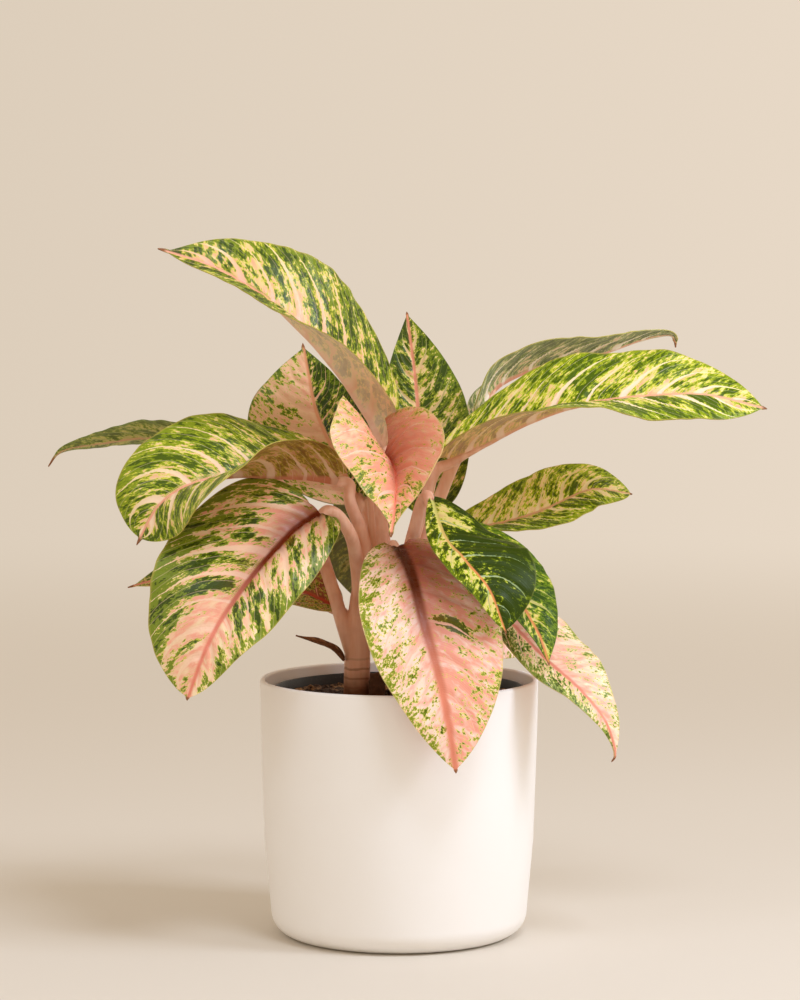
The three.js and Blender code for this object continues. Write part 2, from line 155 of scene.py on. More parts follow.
def turnedPiece(name, section, sides):
    deselectAll()
    radius, height = section[0]
    bpy.ops.mesh.primitive_circle_add(
        vertices=sides, radius=radius, fill_type="NGON", location=(0, 0, height))
    piece = bpy.context.object
    piece.name = piece.data.name = name
    bpy.ops.object.transform_apply()
    bpy.ops.object.mode_set(mode="EDIT")
    bpy.ops.mesh.select_mode(type="FACE")
    bpy.ops.mesh.select_all(action="SELECT")
    for nextRadius, nextHeight in section[1:]:
        bpy.ops.mesh.extrude_region_move(TRANSFORM_OT_translate={"value": (0, 0, nextHeight - height)})
        factor = nextRadius / radius
        bpy.ops.transform.resize(value=(factor, factor, 1), center_override=(0, 0, nextHeight))
        radius, height = nextRadius, nextHeight
    bpy.ops.mesh.select_all(action="SELECT")
    bpy.ops.mesh.normals_make_consistent(inside=False)
    bpy.ops.object.mode_set(mode="OBJECT")
    return piece


def arcSection(centre, height, radius, start, end, steps):
    angles = [math.radians(start + (end - start) * k / steps) for k in range(steps + 1)]
    return [(centre + radius * math.cos(a), height + radius * math.sin(a)) for a in angles]


coverPot = {
    "radius": 90 * mm, "height": 166 * mm, "wall": 3.4 * mm, "taper": 7 * mm,
    "footRound": 15 * mm, "low": 62 * mm, "lowIn": 2.82 * mm, "waist": 110 * mm, "waistIn": 1.2 * mm,
    "high": 140 * mm, "highIn": 0.35 * mm, "lean": -2.3, "floor": 4 * mm, "sides": 160, "sharpFrom": 35,
    "plastic": "polypropyleneMouldedWhite", "colour": "#F8F5F1", "stain": "#F4F0EA", "stainScale": 14,
    "stainFrom": 0, "stainFull": 1, "stainMost": 1, "glossScale": 14, "roughness": (0.51, 0.60),
    "grainScale": 1600, "grainDetail": 2, "grainStrength": 0.12, "grainDepth": 0.2 * mm,
}
nurseryPot = {
    "radius": 81 * mm, "top": 160 * mm, "bottom": 4.3 * mm, "wall": 1.6 * mm, "footRadius": 66 * mm,
    "lip": 1.2 * mm, "band": 9 * mm, "bandIn": 0.6 * mm, "bandOut": 0.9 * mm, "bandSlope": 0.4 * mm,
    "sides": 128, "sharpFrom": 35,
    "plastic": "polypropyleneMouldedBlack", "colour": "#1B1A19", "stain": "#4A4038", "stainScale": 700,
    "stainFrom": 0.6, "stainFull": 0.7, "stainMost": 0.5, "glossScale": 40, "roughness": (0.40, 0.62),
    "grainScale": 700, "grainDetail": 3, "grainStrength": 0.3, "grainDepth": 0.3 * mm,
}


def mouldedPlastic(pot):
    # polypropylene, moulded. The cover pot's mould is finely textured, so it is matt with a faint grain and
    # a soft gloss. The nursery pot is recycled, black and satin, with dust and watered-in specks of peat.
    material, add = startMaterial(pot["plastic"])
    place = add("TexCoord")["Object"]
    cloud = add("TexNoise", {"Vector": place, "Scale": pot["stainScale"], "Detail": 3})[0]
    film = add("TexNoise", {"Vector": place, "Scale": pot["glossScale"], "Detail": 3})[0]
    grain = add("TexNoise", {"Vector": place, "Scale": pot["grainScale"], "Detail": pot["grainDetail"]})[0]
    stain = add("MapRange", (cloud, pot["stainFrom"], pot["stainFull"], 0, pot["stainMost"]))[0]
    tone = add("Mix", {0: stain, 6: pot["colour"], 7: pot["stain"]}, **inColour)[2]
    smooth, dull = pot["roughness"]
    rough = add("MapRange", (film, 0.3, 0.7, smooth, dull))[0]
    bump = add("Bump", {"Height": grain, "Strength": pot["grainStrength"], "Distance": pot["grainDepth"]})[0]
    return finishMaterial(material, add, {
        "Base Color": tone, "Roughness": rough, "Normal": bump, "IOR": 1.49})


def coverSection():
    pot = coverPot
    foot = pot["radius"] - pot["taper"]
    lip = pot["wall"] / 2
    rounding = pot["footRound"]
    return [
        *arcSection(foot - rounding, rounding, rounding, -90, pot["lean"], 10),
        (pot["radius"] - pot["lowIn"], pot["low"]),
        (pot["radius"] - pot["waistIn"], pot["waist"]),
        (pot["radius"] - pot["highIn"], pot["high"]),
        *arcSection(pot["radius"] - lip, pot["height"] - lip, lip, 0, 180, 10),
        (pot["radius"] - pot["wall"] - pot["waistIn"], pot["waist"]),
        *arcSection(foot - rounding, rounding + 0.5 * mm, rounding - pot["wall"], pot["lean"], -90, 8)[:-1],
        (foot - rounding, pot["floor"]),
    ]


def nurserySection():
    pot = nurseryPot
    lip = pot["lip"]
    top = pot["top"]
    inner = pot["radius"] - pot["wall"]
    return [
        (pot["footRadius"], pot["bottom"]),
        (pot["radius"] - pot["bandIn"], top - pot["band"]),
        (pot["radius"] + pot["bandOut"], top - pot["band"] + pot["bandSlope"]),
        *arcSection(pot["radius"] - lip + pot["bandOut"], top - lip, lip, 0, 90, 4),
        (inner + 0.5 * mm, top),
        (inner, top - 0.6 * mm),
        (inner - pot["bandOut"], top - pot["band"]),
        (pot["footRadius"] - pot["wall"], pot["bottom"] + pot["wall"]),
    ]


def makePots():
    for name, pot, section in (("cover", coverPot, coverSection), ("nursery", nurseryPot, nurserySection)):
        shell = turnedPiece(name + "PotShell", section(), pot["sides"])
        shell.data.materials.append(mouldedPlastic(pot))
        finishPiece(shell, name + "_pot", pot["sharpFrom"])
    print("pots done")


# Soil: a plug of peat, its top roughened, with loose crumbs lying on it

soilBed = {
    "top": 153.5 * mm, "bottom": 6.4 * mm, "radius": 78.1 * mm, "footRadius": 64 * mm, "rings": 44,
    "sides": 150, "middle": 0.6 * mm, "relief": 1.8 * mm, "sharpFrom": 50,
    "crumbs": 900, "crumbSize": (0.7 * mm, 2.6 * mm), "crumbReach": 0.965, "seed": 11,
    "dark": "#1F140D", "brown": "#4E3320", "light": "#B48C60",
}


def peat():
    # coconut fibre and peat, milled: rough and crumbly, dark when damp, with pale dry crumbs
    material, add = startMaterial("peatMilled")
    place = add("TexCoord")["Object"]
    lumps = add("TexNoise", {"Vector": place, "Scale": 260, "Detail": 5, "Roughness": 0.7})[0]
    damp = add("TexNoise", {"Vector": place, "Scale": 35, "Detail": 2})[0]
    fibre = add("TexVoronoi", {"Vector": place, "Scale": 520})[0]
    brown = add("Mix", {0: lumps, 6: soilBed["dark"], 7: soilBed["brown"]}, **inColour)[2]
    both = add("Math", (lumps, damp), **times)[0]
    dry = add("MapRange", (both, 0.25, 0.33, 0, 0.9))[0]
    tone = add("Mix", {0: dry, 6: brown, 7: soilBed["light"]}, **inColour)[2]
    height = add("Math", (lumps, fibre), operation="SUBTRACT")[0]
    bump = add("Bump", {"Height": height, "Strength": 0.9, "Distance": 1.2 * mm})[0]
    return finishMaterial(material, add, {"Base Color": tone, "Roughness": 0.93, "Normal": bump})


def soilHeight(x, y):
    place = Vector((x, y, 0)) / mm
    rough = noise.noise(place * 0.06) * 0.8 + noise.noise(place * 0.21) * 0.7
    return soilBed["top"] + soilBed["relief"] * (rough + noise.noise(place * 0.6) * 0.5)


def makeSoil():
    bed = soilBed
    top = [(bed["radius"] * (1 - k / bed["rings"]) + bed["middle"] * k / bed["rings"], bed["top"])
           for k in range(bed["rings"] + 1)]
    soil = turnedPiece("peatPlug", [(bed["footRadius"], bed["bottom"]), *top], bed["sides"])
    for vertex in soil.data.vertices:
        if vertex.co.z > bed["top"] - 0.1 * mm:
            vertex.co.z = soilHeight(vertex.co.x, vertex.co.y)
    deselectAll()
    bpy.ops.mesh.primitive_ico_sphere_add(subdivisions=1, radius=1)
    crumb = bpy.context.object
    dice = random.Random(bed["seed"])
    crumbs = []
    for _ in range(bed["crumbs"]):
        copy = crumb.copy()
        copy.data = crumb.data.copy()
        bpy.context.scene.collection.objects.link(copy)
        reach = bed["radius"] * bed["crumbReach"] * math.sqrt(dice.random())
        angle = dice.uniform(0, 2 * math.pi)
        x, y = reach * math.cos(angle), reach * math.sin(angle)
        size = dice.uniform(*bed["crumbSize"]) * dice.uniform(0.5, 1)
        stretch = Vector((dice.uniform(0.8, 1.5), dice.uniform(0.6, 1.1), dice.uniform(0.5, 0.9))) * size
        turn = dice.uniform(0, 6.3)
        lift = soilHeight(x, y) + size * dice.uniform(-0.1, 0.35)
        lay = Matrix.LocRotScale(Vector((x, y, lift)), Euler((0, 0, turn)), stretch)
        for vertex in copy.data.vertices:
            vertex.co = lay @ (vertex.co * dice.uniform(0.8, 1.2))
        crumbs.append(copy)
    bpy.data.objects.remove(crumb)
    soil = joinPieces([soil, *crumbs], "peatPlug")
    soil.data.materials.append(peat())
    finishPiece(soil, "soil", bed["sharpFrom"])
    print("soil done")


# Leaf blades. A blade is a flat grid bent over its midrib; "face" is the way its upper side looks at the
# base, middle and tip. Half A is on the right when looking along the midrib from above, and half B on the
# left. "width", "fold" and "curl" have a value for each half: a width in mm, and degrees at the base, middle
# and tip. "wave" is the height in mm of the waves in the margin, their number and where they start. A patch
# is a place along the sweep and out from the midrib, its reach each way in mm, and how much green it adds.

bladeForm = {
    "thickness": 1.0 * mm, "margin": 0.62 * mm, "ribHalf": 2.6 * mm, "veinSweep": 0.3, "veinCurve": 0.17,
    "halfShift": 0.45, "groove": 0.75 * mm, "grooveWide": 0.09, "quilt": 0.6 * mm, "sharpFrom": 60,
    "ribGroove": 0.7 * mm, "ribGrooveWide": 1.6 * mm, "ribWide": 2.3 * mm, "flatBelow": 20 * mm,
}
usualLeaf = {
    "rows": 104, "columns": 34, "belly": 0.52, "taper": 1.02, "tail": 0.03, "lobe": 6, "veins": 8,
    "ribDepth": 3.2, "wave": (0, 3, 0), "uneven": 1, "patches": (), "curl": ((0, 0, 0), (0, 0, 0)),
}
# where a point of a blade is: shares of its length and width, metres along the sweep and out from the
# midrib, and metres on the blade laid flat
leafMaps = ("leafMap", "leafFlat", "leafPlane")


def blend(values, t):
    a, b, c = values
    middle = 2 * b - (a + c) / 2
    return (1 - t) ** 2 * a + 2 * t * (1 - t) * middle + t * t * c


class Midrib:
    # a smooth curve through the points, walked by its length
    def __init__(self, points):
        points = [Vector(p) * mm for p in points]
        self.points = []
        for i in range(len(points) - 1):
            p1, p2 = points[i], points[i + 1]
            p0 = points[i - 1] if i else p1 * 2 - p2
            p3 = points[i + 2] if i + 2 < len(points) else p2 * 2 - p1
            d0, d1, d2 = (p1 - p0).length ** 0.5, (p2 - p1).length ** 0.5, (p3 - p2).length ** 0.5
            t1 = ((p1 - p0) / d0 - (p2 - p0) / (d0 + d1) + (p2 - p1) / d1) * d1
            t2 = ((p2 - p1) / d1 - (p3 - p1) / (d1 + d2) + (p3 - p2) / d2) * d1
            for k in range(48):
                w = k / 48
                bent = (p2 - p1) * 3 - t1 * 2 - t2
                self.points.append(p1 + t1 * w + bent * w ** 2 + ((p1 - p2) * 2 + t1 + t2) * w ** 3)
        self.points.append(points[-1])
        self.lengths = [0.0]
        for a, b in zip(self.points, self.points[1:]):
            self.lengths.append(self.lengths[-1] + (b - a).length)
        self.length = self.lengths[-1]

    def at(self, t):
        along = min(max(t, 0), 1) * self.length
        i = min(max(bisect.bisect(self.lengths, along) - 1, 0), len(self.points) - 2)
        share = (along - self.lengths[i]) / (self.lengths[i + 1] - self.lengths[i])
        return self.points[i].lerp(self.points[i + 1], share)

    def tangentAt(self, t):
        t = min(max(t, 0.004), 0.996)
        return (self.at(t + 0.004) - self.at(t - 0.004)).normalized()


def halfWidth(leaf, u, side):
    belly, taper, tail = leaf["belly"], leaf["taper"], leaf["tail"]
    start = 0.006
    widest = (belly - taper * start) / (belly + taper)
    peak = (widest + start) ** belly * (1 - widest) ** taper
    main = min(u / (1 - tail), 1)
    width = (main + start) ** belly * (1 - main) ** taper / peak
    drip = 0.03 * min(1, (1 - u) / tail) ** 0.8  # the fine tail past the blade's end
    return max(width, drip * min(1, u * 4)) * leaf["width"][0 if side > 0 else 1] * mm


def veinPhase(leaf, u, share, side):
    # how far along the sweep a point is, and which side vein it is near: a number and a half is on a vein
    length = leaf["rib"].length
    spacing = length / leaf["veins"]
    wobble = 0.10 * noise.noise(Vector((u * 9, share * 3 * side, leaf["seed"])))
    along = u - bladeForm["veinCurve"] * share ** 1.3 + wobble * 0.1
    return along * length, along * length / spacing + (bladeForm["halfShift"] if side < 0 else 0)


def bladePoint(leaf, u, share, side):
    # the point of the blade's upper side at u along the midrib and share of the way to the margin
    rib = leaf["rib"]
    half = 0 if side > 0 else 1
    lobe = leaf["lobe"] * mm
    amplitude, waves, start = leaf["wave"]
    full = halfWidth(leaf, u, side)
    inner = min(bladeForm["ribHalf"], 0.3 * full)
    ring = max((share * full - inner) / max(full - inner, 1e-9), 0)
    back = lobe * max(1 - u / 0.2, 0) ** 2
    forward = bladeForm["veinSweep"] * full * min(u / 0.2, 1)
    along = u * rib.length + (forward - back) * ring ** 2
    t = min(max(along / rib.length, 0), 1)
    tangent = rib.tangentAt(t)
    centre = rib.at(t) + tangent * (along - t * rib.length)
    normal = Vector([blend([face[k] for face in leaf["face"]], t) for k in range(3)])
    normal = (normal - tangent * normal.dot(tangent)).normalized()
    across = tangent.cross(normal) * side
    fold = math.radians(blend(leaf["fold"][half], t))
    bend = math.radians(blend(leaf["curl"][half], t))
    rate = bend if abs(bend) > 1e-3 else 1e-3
    turn = fold + rate * share
    x = full / rate * (math.sin(turn) - math.sin(fold))
    z = full / rate * (math.cos(fold) - math.cos(turn))
    beat = 2 * math.pi * waves * u + start + 1.7 * half
    ripple = amplitude * mm * share ** 2 * math.sin(beat)
    up = normal * math.cos(turn) - across * math.sin(turn)
    return centre + across * x + normal * (z + ripple * math.sin(math.pi * u)), up, along


def bladeRelief(leaf, u, share, side, full):
    # grooves over the midrib and the side veins, the blade swelling between them, and a slight unevenness
    phase = veinPhase(leaf, u, share, side)[1]
    near = abs(phase % 1 - 0.5)
    broad = min(1, full / bladeForm["flatBelow"])
    fade = min(1, share / 0.12) * max(0, 1 - share ** 3) * min(1, (1 - u) * 5) * broad
    vein = math.exp(-(near / bladeForm["grooveWide"]) ** 2)
    depth = -bladeForm["groove"] * vein * fade + bladeForm["quilt"] * math.sin(math.pi * near * 2) * fade
    depth -= bladeForm["ribGroove"] * math.exp(-(share * full / bladeForm["ribGrooveWide"]) ** 2) * (1 - u)
    uneven = noise.noise(Vector((u * 7, share * side * 2.2, leaf["seed"] * 1.7))) * 1.1
    frill = noise.noise(Vector((u * leaf["rib"].length / (9 * mm), side * 3, leaf["seed"])))
    frill *= 1.3 * share ** 4
    most = mm * leaf["uneven"] * math.sin(math.pi * u) * broad
    return depth + (uneven + frill) * most


def makeBlade(node, leaf):
    leaf["rib"] = Midrib(leaf["midrib"])
    deselectAll()
    bpy.ops.mesh.primitive_grid_add(x_subdivisions=leaf["rows"], y_subdivisions=leaf["columns"], size=2)
    piece = bpy.context.object
    piece.name = piece.data.name = leaf["piece"]
    mesh = piece.data
    mesh.uv_layers[0].name = leafMaps[0]
    for name in leafMaps[1:]:
        mesh.uv_layers.new(name=name)
    thick = piece.vertex_groups.new(name="thickness")
    most = bladeForm["thickness"] + leaf["ribDepth"] * mm
    places = {}
    for vertex in mesh.vertices:
        w = (vertex.co.x + 1) / 2
        u = 0.5 * w + 0.25 * (1 - math.cos(math.pi * w))
        signed = -vertex.co.y
        side = 1 if signed > 0 else -1
        share = abs(signed)
        full = halfWidth(leaf, u, side)
        point, up, along = bladePoint(leaf, u, share, side)
        vertex.co = point + up * bladeRelief(leaf, u, share, side, full)
        out = share * full
        ribbed = leaf["ribDepth"] * mm * (1 - u) ** 1.5 * math.exp(-(out / bladeForm["ribWide"]) ** 2)
        edge = bladeForm["thickness"] + (bladeForm["margin"] - bladeForm["thickness"]) * share ** 4
        thick.add([vertex.index], (edge + ribbed) / most, "REPLACE")
        swept = veinPhase(leaf, u, share, side)[0]
        away = out + (0 if side > 0 else 0.2)
        places[vertex.index] = ((u, 0.5 - 0.5 * signed), (swept, out * side), (along, away))
    for loop in mesh.loops:
        for name, place in zip(leafMaps, places[loop.vertex_index]):
            mesh.uv_layers[name].data[loop.index].uv = place
    makeActive(piece)
    bpy.ops.object.mode_set(mode="EDIT")
    bpy.ops.mesh.select_all(action="SELECT")
    bpy.ops.mesh.remove_doubles(threshold=1e-6)
    bpy.ops.object.mode_set(mode="OBJECT")
    for under in (False, True):
        mesh.materials.append(bladeMaterial(leaf, under))
    addModifier(
        piece, "SOLIDIFY", thickness=most, offset=-1, vertex_group="thickness", material_offset=1)
    applyModifiers(piece)
    finishPiece(piece, node, bladeForm["sharpFrom"])


# Colours of the blade. "cover" is how much green lies on the halves A and B, from -0.2 for a few flecks to
# 0.2 for nearly all, and "margin" how much more lies at each half's edge. "fleck" is a fleck's size across
# and along the side veins in mm, "cluster" how strongly flecks gather, "band" how far they keep off the side
# veins. "veinWide" and "ribWide" are half widths in mm. The midrib turns from "ribBase" to "ribTip" over the
# part of its length in "ribFade". "ribShade" is how strong a painted shade in "shadeTone" lies along the
# midrib's lower part, and "shadeWide" is how far out from the midrib this painted shade reaches in mm on
# each half.

limeLook = {
    "cream": "#F1D09A", "blush": "#EEB08C", "lime": "#CECB40", "green": "#768A10", "dark": "#415206",
    "vein": "#F8CFB0", "veinEnd": "#EEDCA0", "veinWide": 1.8, "fineVeins": 0.4,
    "ribBase": "#D98468", "ribTip": "#EDA68A", "ribWide": 1.5, "ribFade": (0.05, 0.6),
    "ribShade": 0.0, "shadeTone": "#7A2C14",
    "cover": (0.03, 0.03), "margin": (0.09, 0.09), "fleck": (2.4, 4.6), "veinLean": 0.75,
    "cluster": 0.34, "band": 0.22, "blushNear": (0.5, 0.5), "mottle": 4.0,
    "steps": (0.44, 0.51, 0.585), "edge": "#B9A94E", "under": "#D6A67A", "underTint": 0.45,
    "roughness": 0.27, "shine": 0.26, "tip": "#8C5A36",
}
pinkLook = {
    **limeLook, "cream": "#FFDECA", "blush": "#F2A38C", "lime": "#E0D468", "green": "#7E9016",
    "dark": "#43550A", "vein": "#F7B8A0", "veinEnd": "#F9D2B4", "veinWide": 1.0, "fineVeins": 0.15,
    "ribBase": "#C4583A", "ribTip": "#E28A70", "cover": (-0.09, -0.10), "margin": (0.15, 0.11),
    "fleck": (1.6, 2.3), "cluster": 0.36, "band": 0.03, "blushNear": (0.8, 0.8), "mottle": 4.4,
    "steps": (0.455, 0.525, 0.565), "edge": "#D2B878", "under": "#D6906A",
}
darkLook = {
    **limeLook, "cream": "#DFD17C", "blush": "#DCBA80", "lime": "#A8B424", "green": "#566C08",
    "dark": "#2A3C03", "vein": "#A9B470", "veinEnd": "#7E9448", "veinWide": 0.5,
    "cover": (0.15, 0.15), "fleck": (2.4, 4.2), "blushNear": (0.3, 0.3), "edge": "#77803A",
    "under": "#7A6E34", "roughness": 0.3,
}
# the top left leaf's underside is the tan-pink it has, made much lighter with painted light for the glow
# through the leaf and the light thrown back onto it
topLook = {
    **limeLook, "cream": "#E4C684", "blush": "#E8A27C", "lime": "#C6C23A", "green": "#6C7E10",
    "dark": "#37480A", "vein": "#F4B298", "veinWide": 2.0, "cover": (0.045, 0.07),
    "fleck": (3.8, 6.5), "cluster": 0.24, "blushNear": (0.55, 0.6), "steps": (0.445, 0.505, 0.575),
    "under": "#FFE6CE", "underTint": 0.52,
}
crownLook = {
    **darkLook, "cream": "#E6C690", "blush": "#DDA078", "lime": "#B5B634", "green": "#62760C",
    "dark": "#334405", "vein": "#F0C794", "veinWide": 1.2, "ribBase": "#EDA98C", "ribTip": "#D98A6C",
    "cover": (0.08, 0.09),
}
backLook = {
    **darkLook, "cream": "#E2B68C", "blush": "#DC9A78", "cover": (0.14, -0.09), "veinWide": 0.8,
    "vein": "#E2AE8A", "veinEnd": "#D9B484", "ribBase": "#E2A078", "ribTip": "#D79468",
}
# the heart leaf's ribShade is painted shade, reaching far across half B's lobe where the top left leaf
# shades it
heartLook = {
    **pinkLook, "cream": "#F2C69E", "blush": "#EB9A7E", "lime": "#C9BE48", "green": "#76861C",
    "dark": "#465814", "cover": (-0.10, -0.11), "blushNear": (1.0, 1.2), "ribTip": "#F0967A",
    "fleck": (1.8, 2.8), "margin": (0.10, 0.12), "ribShade": 0.85, "shadeTone": "#A2482A",
    "shadeWide": (10, 54),
}
longLook = {
    **limeLook, "cream": "#F2DF90", "lime": "#CDCF38", "green": "#82960C", "dark": "#465C06",
    "vein": "#FCE0C8", "veinEnd": "#F5E6AC", "veinWide": 2.3, "cover": (0.115, 0.02),
    "fleck": (2.2, 6.4), "band": 0.28, "ribBase": "#E3A27E", "ribTip": "#EDAE8A", "under": "#E8B08E",
    "steps": (0.415, 0.50, 0.57), "shine": 0.16,
}
backRightLook = {
    **limeLook, "cream": "#E8D6AE", "lime": "#BCC678", "green": "#74883C", "dark": "#4A5E28",
    "vein": "#FAF2DE", "veinEnd": "#EEE6C6", "under": "#D6D2AE", "underTint": 0.06,
    "cover": (0.11, 0.05), "fleck": (1.8, 7.0),
}
middleRightLook = {
    **limeLook, "cream": "#FCE8A6", "blush": "#F4CC96", "lime": "#D8DC40", "green": "#8EA614",
    "dark": "#485C08", "vein": "#FCE8B8", "veinEnd": "#E2E08A", "veinWide": 1.3, "cover": (0.10, 0.03),
    "fleck": (1.9, 4.8), "ribBase": "#DCA87A", "ribTip": "#E4B084", "ribWide": 1.2,
}
# the left upper leaf's underside is painted a dark brown for the shade it lies in, with the warm glow of
# light through the leaf
leftUpperLook = {
    **limeLook, "lime": "#CFD03E", "green": "#7E920E", "dark": "#445806", "vein": "#FBDCC0",
    "veinWide": 2.1, "cover": (0.06, 0.07), "margin": (0.14, 0.09), "fleck": (1.9, 6.2), "band": 0.3,
    "under": "#A8683A", "steps": (0.43, 0.50, 0.575),
}
# the left front leaf's ribShade is painted shade, darker along the lower part of its midrib
leftFrontLook = {
    **limeLook, "cream": "#F6DCB0", "blush": "#F2A88C", "blushNear": (0.9, 0.75), "lime": "#CCCB50",
    "green": "#70841A", "dark": "#334506", "vein": "#FCCFB4", "veinEnd": "#F4D8AA", "veinWide": 2.1,
    "ribBase": "#6A2206", "ribTip": "#E4846C", "ribWide": 2.2, "ribFade": (0.35, 0.7), "ribShade": 0.8,
    "shadeWide": (20, 10), "cover": (0.03, -0.01), "margin": (0.24, 0.14), "band": 0.38,
    "fleck": (2.4, 6.0), "steps": (0.452, 0.505, 0.575), "shine": 0.34,
}
# the front leaf: its very dark midrib base is partly red pigment and partly painted shade of the midrib's
# trough, and its ribShade is painted shade, widest on half B under the leaves above
frontLook = {
    **pinkLook, "ribBase": "#562004", "ribTip": "#DE866A", "ribWide": 3.8, "ribFade": (0.28, 0.72),
    "ribShade": 0.95, "shadeTone": "#86320A", "shadeWide": (15, 36), "cover": (-0.085, -0.13),
    "margin": (0.19, 0.11), "blushNear": (0.5, 1.05), "shine": 0.2,
}
farLeftLook = {
    **darkLook, "under": "#8E984C", "underTint": 0.3, "lime": "#B4BC58", "green": "#6A7E28",
    "vein": "#C4B87C", "cover": (0.08, 0.08),
}
# the low left leaf lies in shade behind the left front leaf: its pink ground is painted shade, darkened to
# brown
lowLeftLook = {**pinkLook, "cream": "#A8764A", "blush": "#945234", "cover": (0.0, 0.0)}
rightFrontLook = {
    **darkLook, "lime": "#B6C21E", "green": "#566804", "dark": "#2B3B02", "vein": "#9DB48C",
    "veinEnd": "#6F8450", "veinWide": 0.4, "fineVeins": 0.1, "ribBase": "#C9C970",
    "ribTip": "#D98A50", "ribWide": 1.0, "cover": (0.02, 0.26), "roughness": 0.36, "shine": 0.12,
}
rightSecondLook = {
    **darkLook, "cream": "#E0CC70", "lime": "#AEBA22", "green": "#5A760A", "dark": "#2C4804",
    "vein": "#E0CE80", "veinWide": 1.1, "ribBase": "#E9B880", "ribTip": "#D98A50", "cover": (0.12, 0.11),
    "roughness": 0.36, "shine": 0.14,
}
rightLowLook = {
    **pinkLook, "cream": "#FFE6C6", "blush": "#F4AC94", "lime": "#DED878", "green": "#7E9434",
    "ribBase": "#E08A70", "cover": (0.02, -0.13), "margin": (0.15, 0.12), "blushNear": (0.7, 0.8),
    "fleck": (1.6, 2.6),
}
lowSecondLook = {**pinkLook, "cover": (-0.12, -0.12)}
backLowLook = {**darkLook, "under": "#8F9468"}
leaves = {}
leaves["leaf_top_left"] = {
    "slot": "leaf_lime", "look": topLook,
    "seed": 3.1, "veins": 9, "tail": 0.025,
    "width": (55, 34), "belly": 0.56, "taper": 1.08,
    "midrib": ((-9, 18, 317), (-20, 8, 338), (-58, -20, 388), (-108, -36, 427), (-152, -36, 443)),
    "face": ((0.68, -0.25, 0.68), (0.55, -0.4, 0.75), (0.1, -0.65, 0.75)),
    "fold": ((34, 34, 24), (56, 38, 8)), "curl": ((-6, -14, -14), (0, -10, -20)),
    "wave": (1.6, 2.5, 0.4),
}
leaves["leaf_crown_back"] = {
    "slot": "leaf_green", "look": crownLook,
    "seed": 5.7, "tail": 0.015,
    "width": (34, 27), "belly": 0.42,
    "midrib": ((18, 34, 277), (14, 38, 309), (12, 44, 345), (8, 50, 380), (5, 54, 402)),
    "face": ((0, -1, 0.1), (0, -1, 0.2), (0, -1, 0.2)),
    "fold": ((4, 2, 0), (22, 14, 4)), "curl": ((8, 0, -6), (8, 0, -6)),
    "wave": (1.4, 2.5, 1),
}
leaves["leaf_back_left"] = {
    "slot": "leaf_shaded", "look": backLook,
    "seed": 8.2, "veins": 7, "width": (30, 50),
    "midrib": ((-29, 34, 283), (-42, 46, 308), (-55, 58, 337), (-60, 66, 360), (-64, 72, 381)),
    "face": ((0.1, -1, 0.3), (0.1, -1, 0.2), (0.1, -1, 0.2)),
    "fold": ((20, 12, 4), (20, 12, 4)), "curl": ((0, 0, 0), (0, -6, -6)),
}
leaves["leaf_heart"] = {
    "slot": "leaf_pink", "look": heartLook,
    "patches": (
        (76, 14, 24, 18, 0.11), (74, -12, 26, 16, 0.12), (14, -26, 32, 26, -0.1), (42, -34, 18, 14, 0.2),
        (42, 24, 18, 14, 0.06),
    ),
    "seed": 2.4, "veins": 6, "tail": 0.04,
    "width": (56, 42), "lobe": 30, "belly": 0.36, "taper": 1.6,
    "midrib": ((-10, -27, 312), (-4, -45, 306), (-2, -67, 294), (-3, -87, 280), (-5, -101, 266)),
    "face": ((0.05, -0.5, 0.87), (0, -0.6, 0.8), (0, -0.8, 0.6)),
    "fold": ((68, 46, 20), (58, 44, 20)), "curl": ((-16, -14, 0), (-16, -12, 0)),
}
leaves["leaf_right_long"] = {
    "slot": "leaf_lime", "look": longLook,
    "seed": 6.6, "veins": 9, "tail": 0.015,
    "width": (42, 43), "belly": 0.6, "taper": 0.9,
    "midrib": (
        (32, 0, 309), (54, -4, 319), (82, -10, 333), (116, -16, 344), (192, -20, 350),
        (235, -18, 341),
    ),
    "face": ((-0.2, -0.3, 0.95), (-0.1, -0.38, 0.95), (0.1, -0.6, 0.8)),
    "fold": ((48, 24, -16), (34, 28, 26)), "curl": ((0, -16, -16), (-4, -8, -8)),
    "wave": (1.8, 3, 0),
}
leaves["leaf_right_back"] = {
    "slot": "leaf_shaded", "look": backRightLook,
    "seed": 9.3, "tail": 0.02,
    "width": (32, 29), "belly": 0.45, "taper": 0.8, "lobe": 3,
    "midrib": (
        (51, 43, 335), (62, 52, 353), (90, 60, 366), (134, 64, 375), (170, 68, 386), (182, 68, 386),
        (184, 67, 378),
    ),
    "face": ((-0.3, 0.25, 0.9), (-0.2, 0.25, 0.95), (0, 0.2, 0.95)),
    "fold": ((22, 12, 4), (22, 12, 4)),
}
leaves["leaf_right_middle"] = {
    "slot": "leaf_lime", "look": middleRightLook,
    "seed": 1.9, "veins": 7, "tail": 0.015,
    "width": (22, 30), "belly": 0.62, "taper": 0.72,
    "midrib": ((41, 4, 263), (65, 6, 266), (95, 10, 275), (124, 16, 287), (152, 20, 284)),
    "face": ((0, -0.5, 0.87), (0, -0.5, 0.87), (0.1, -0.5, 0.87)),
    "fold": ((34, 10, 0), (26, 18, 6)), "curl": ((0, -16, -10), (0, -6, -6)),
}
leaves["leaf_left_upper"] = {
    "slot": "leaf_lime", "look": leftUpperLook,
    "seed": 4.4, "veins": 7, "tail": 0.035,
    "width": (51, 50), "belly": 0.6, "taper": 0.72,
    "midrib": ((-40, -10, 296), (-63, -16, 299), (-124, -36, 297), (-150, -42, 283), (-166, -44, 256)),
    "face": ((0, -0.35, 0.93), (-0.2, -0.55, 0.8), (-0.55, -0.85, 0.25)),
    "fold": ((34, 26, 10), (80, 45, 0)), "curl": ((-4, -16, -20), (-6, -8, -8)),
    "wave": (1.6, 2.5, 2),
}
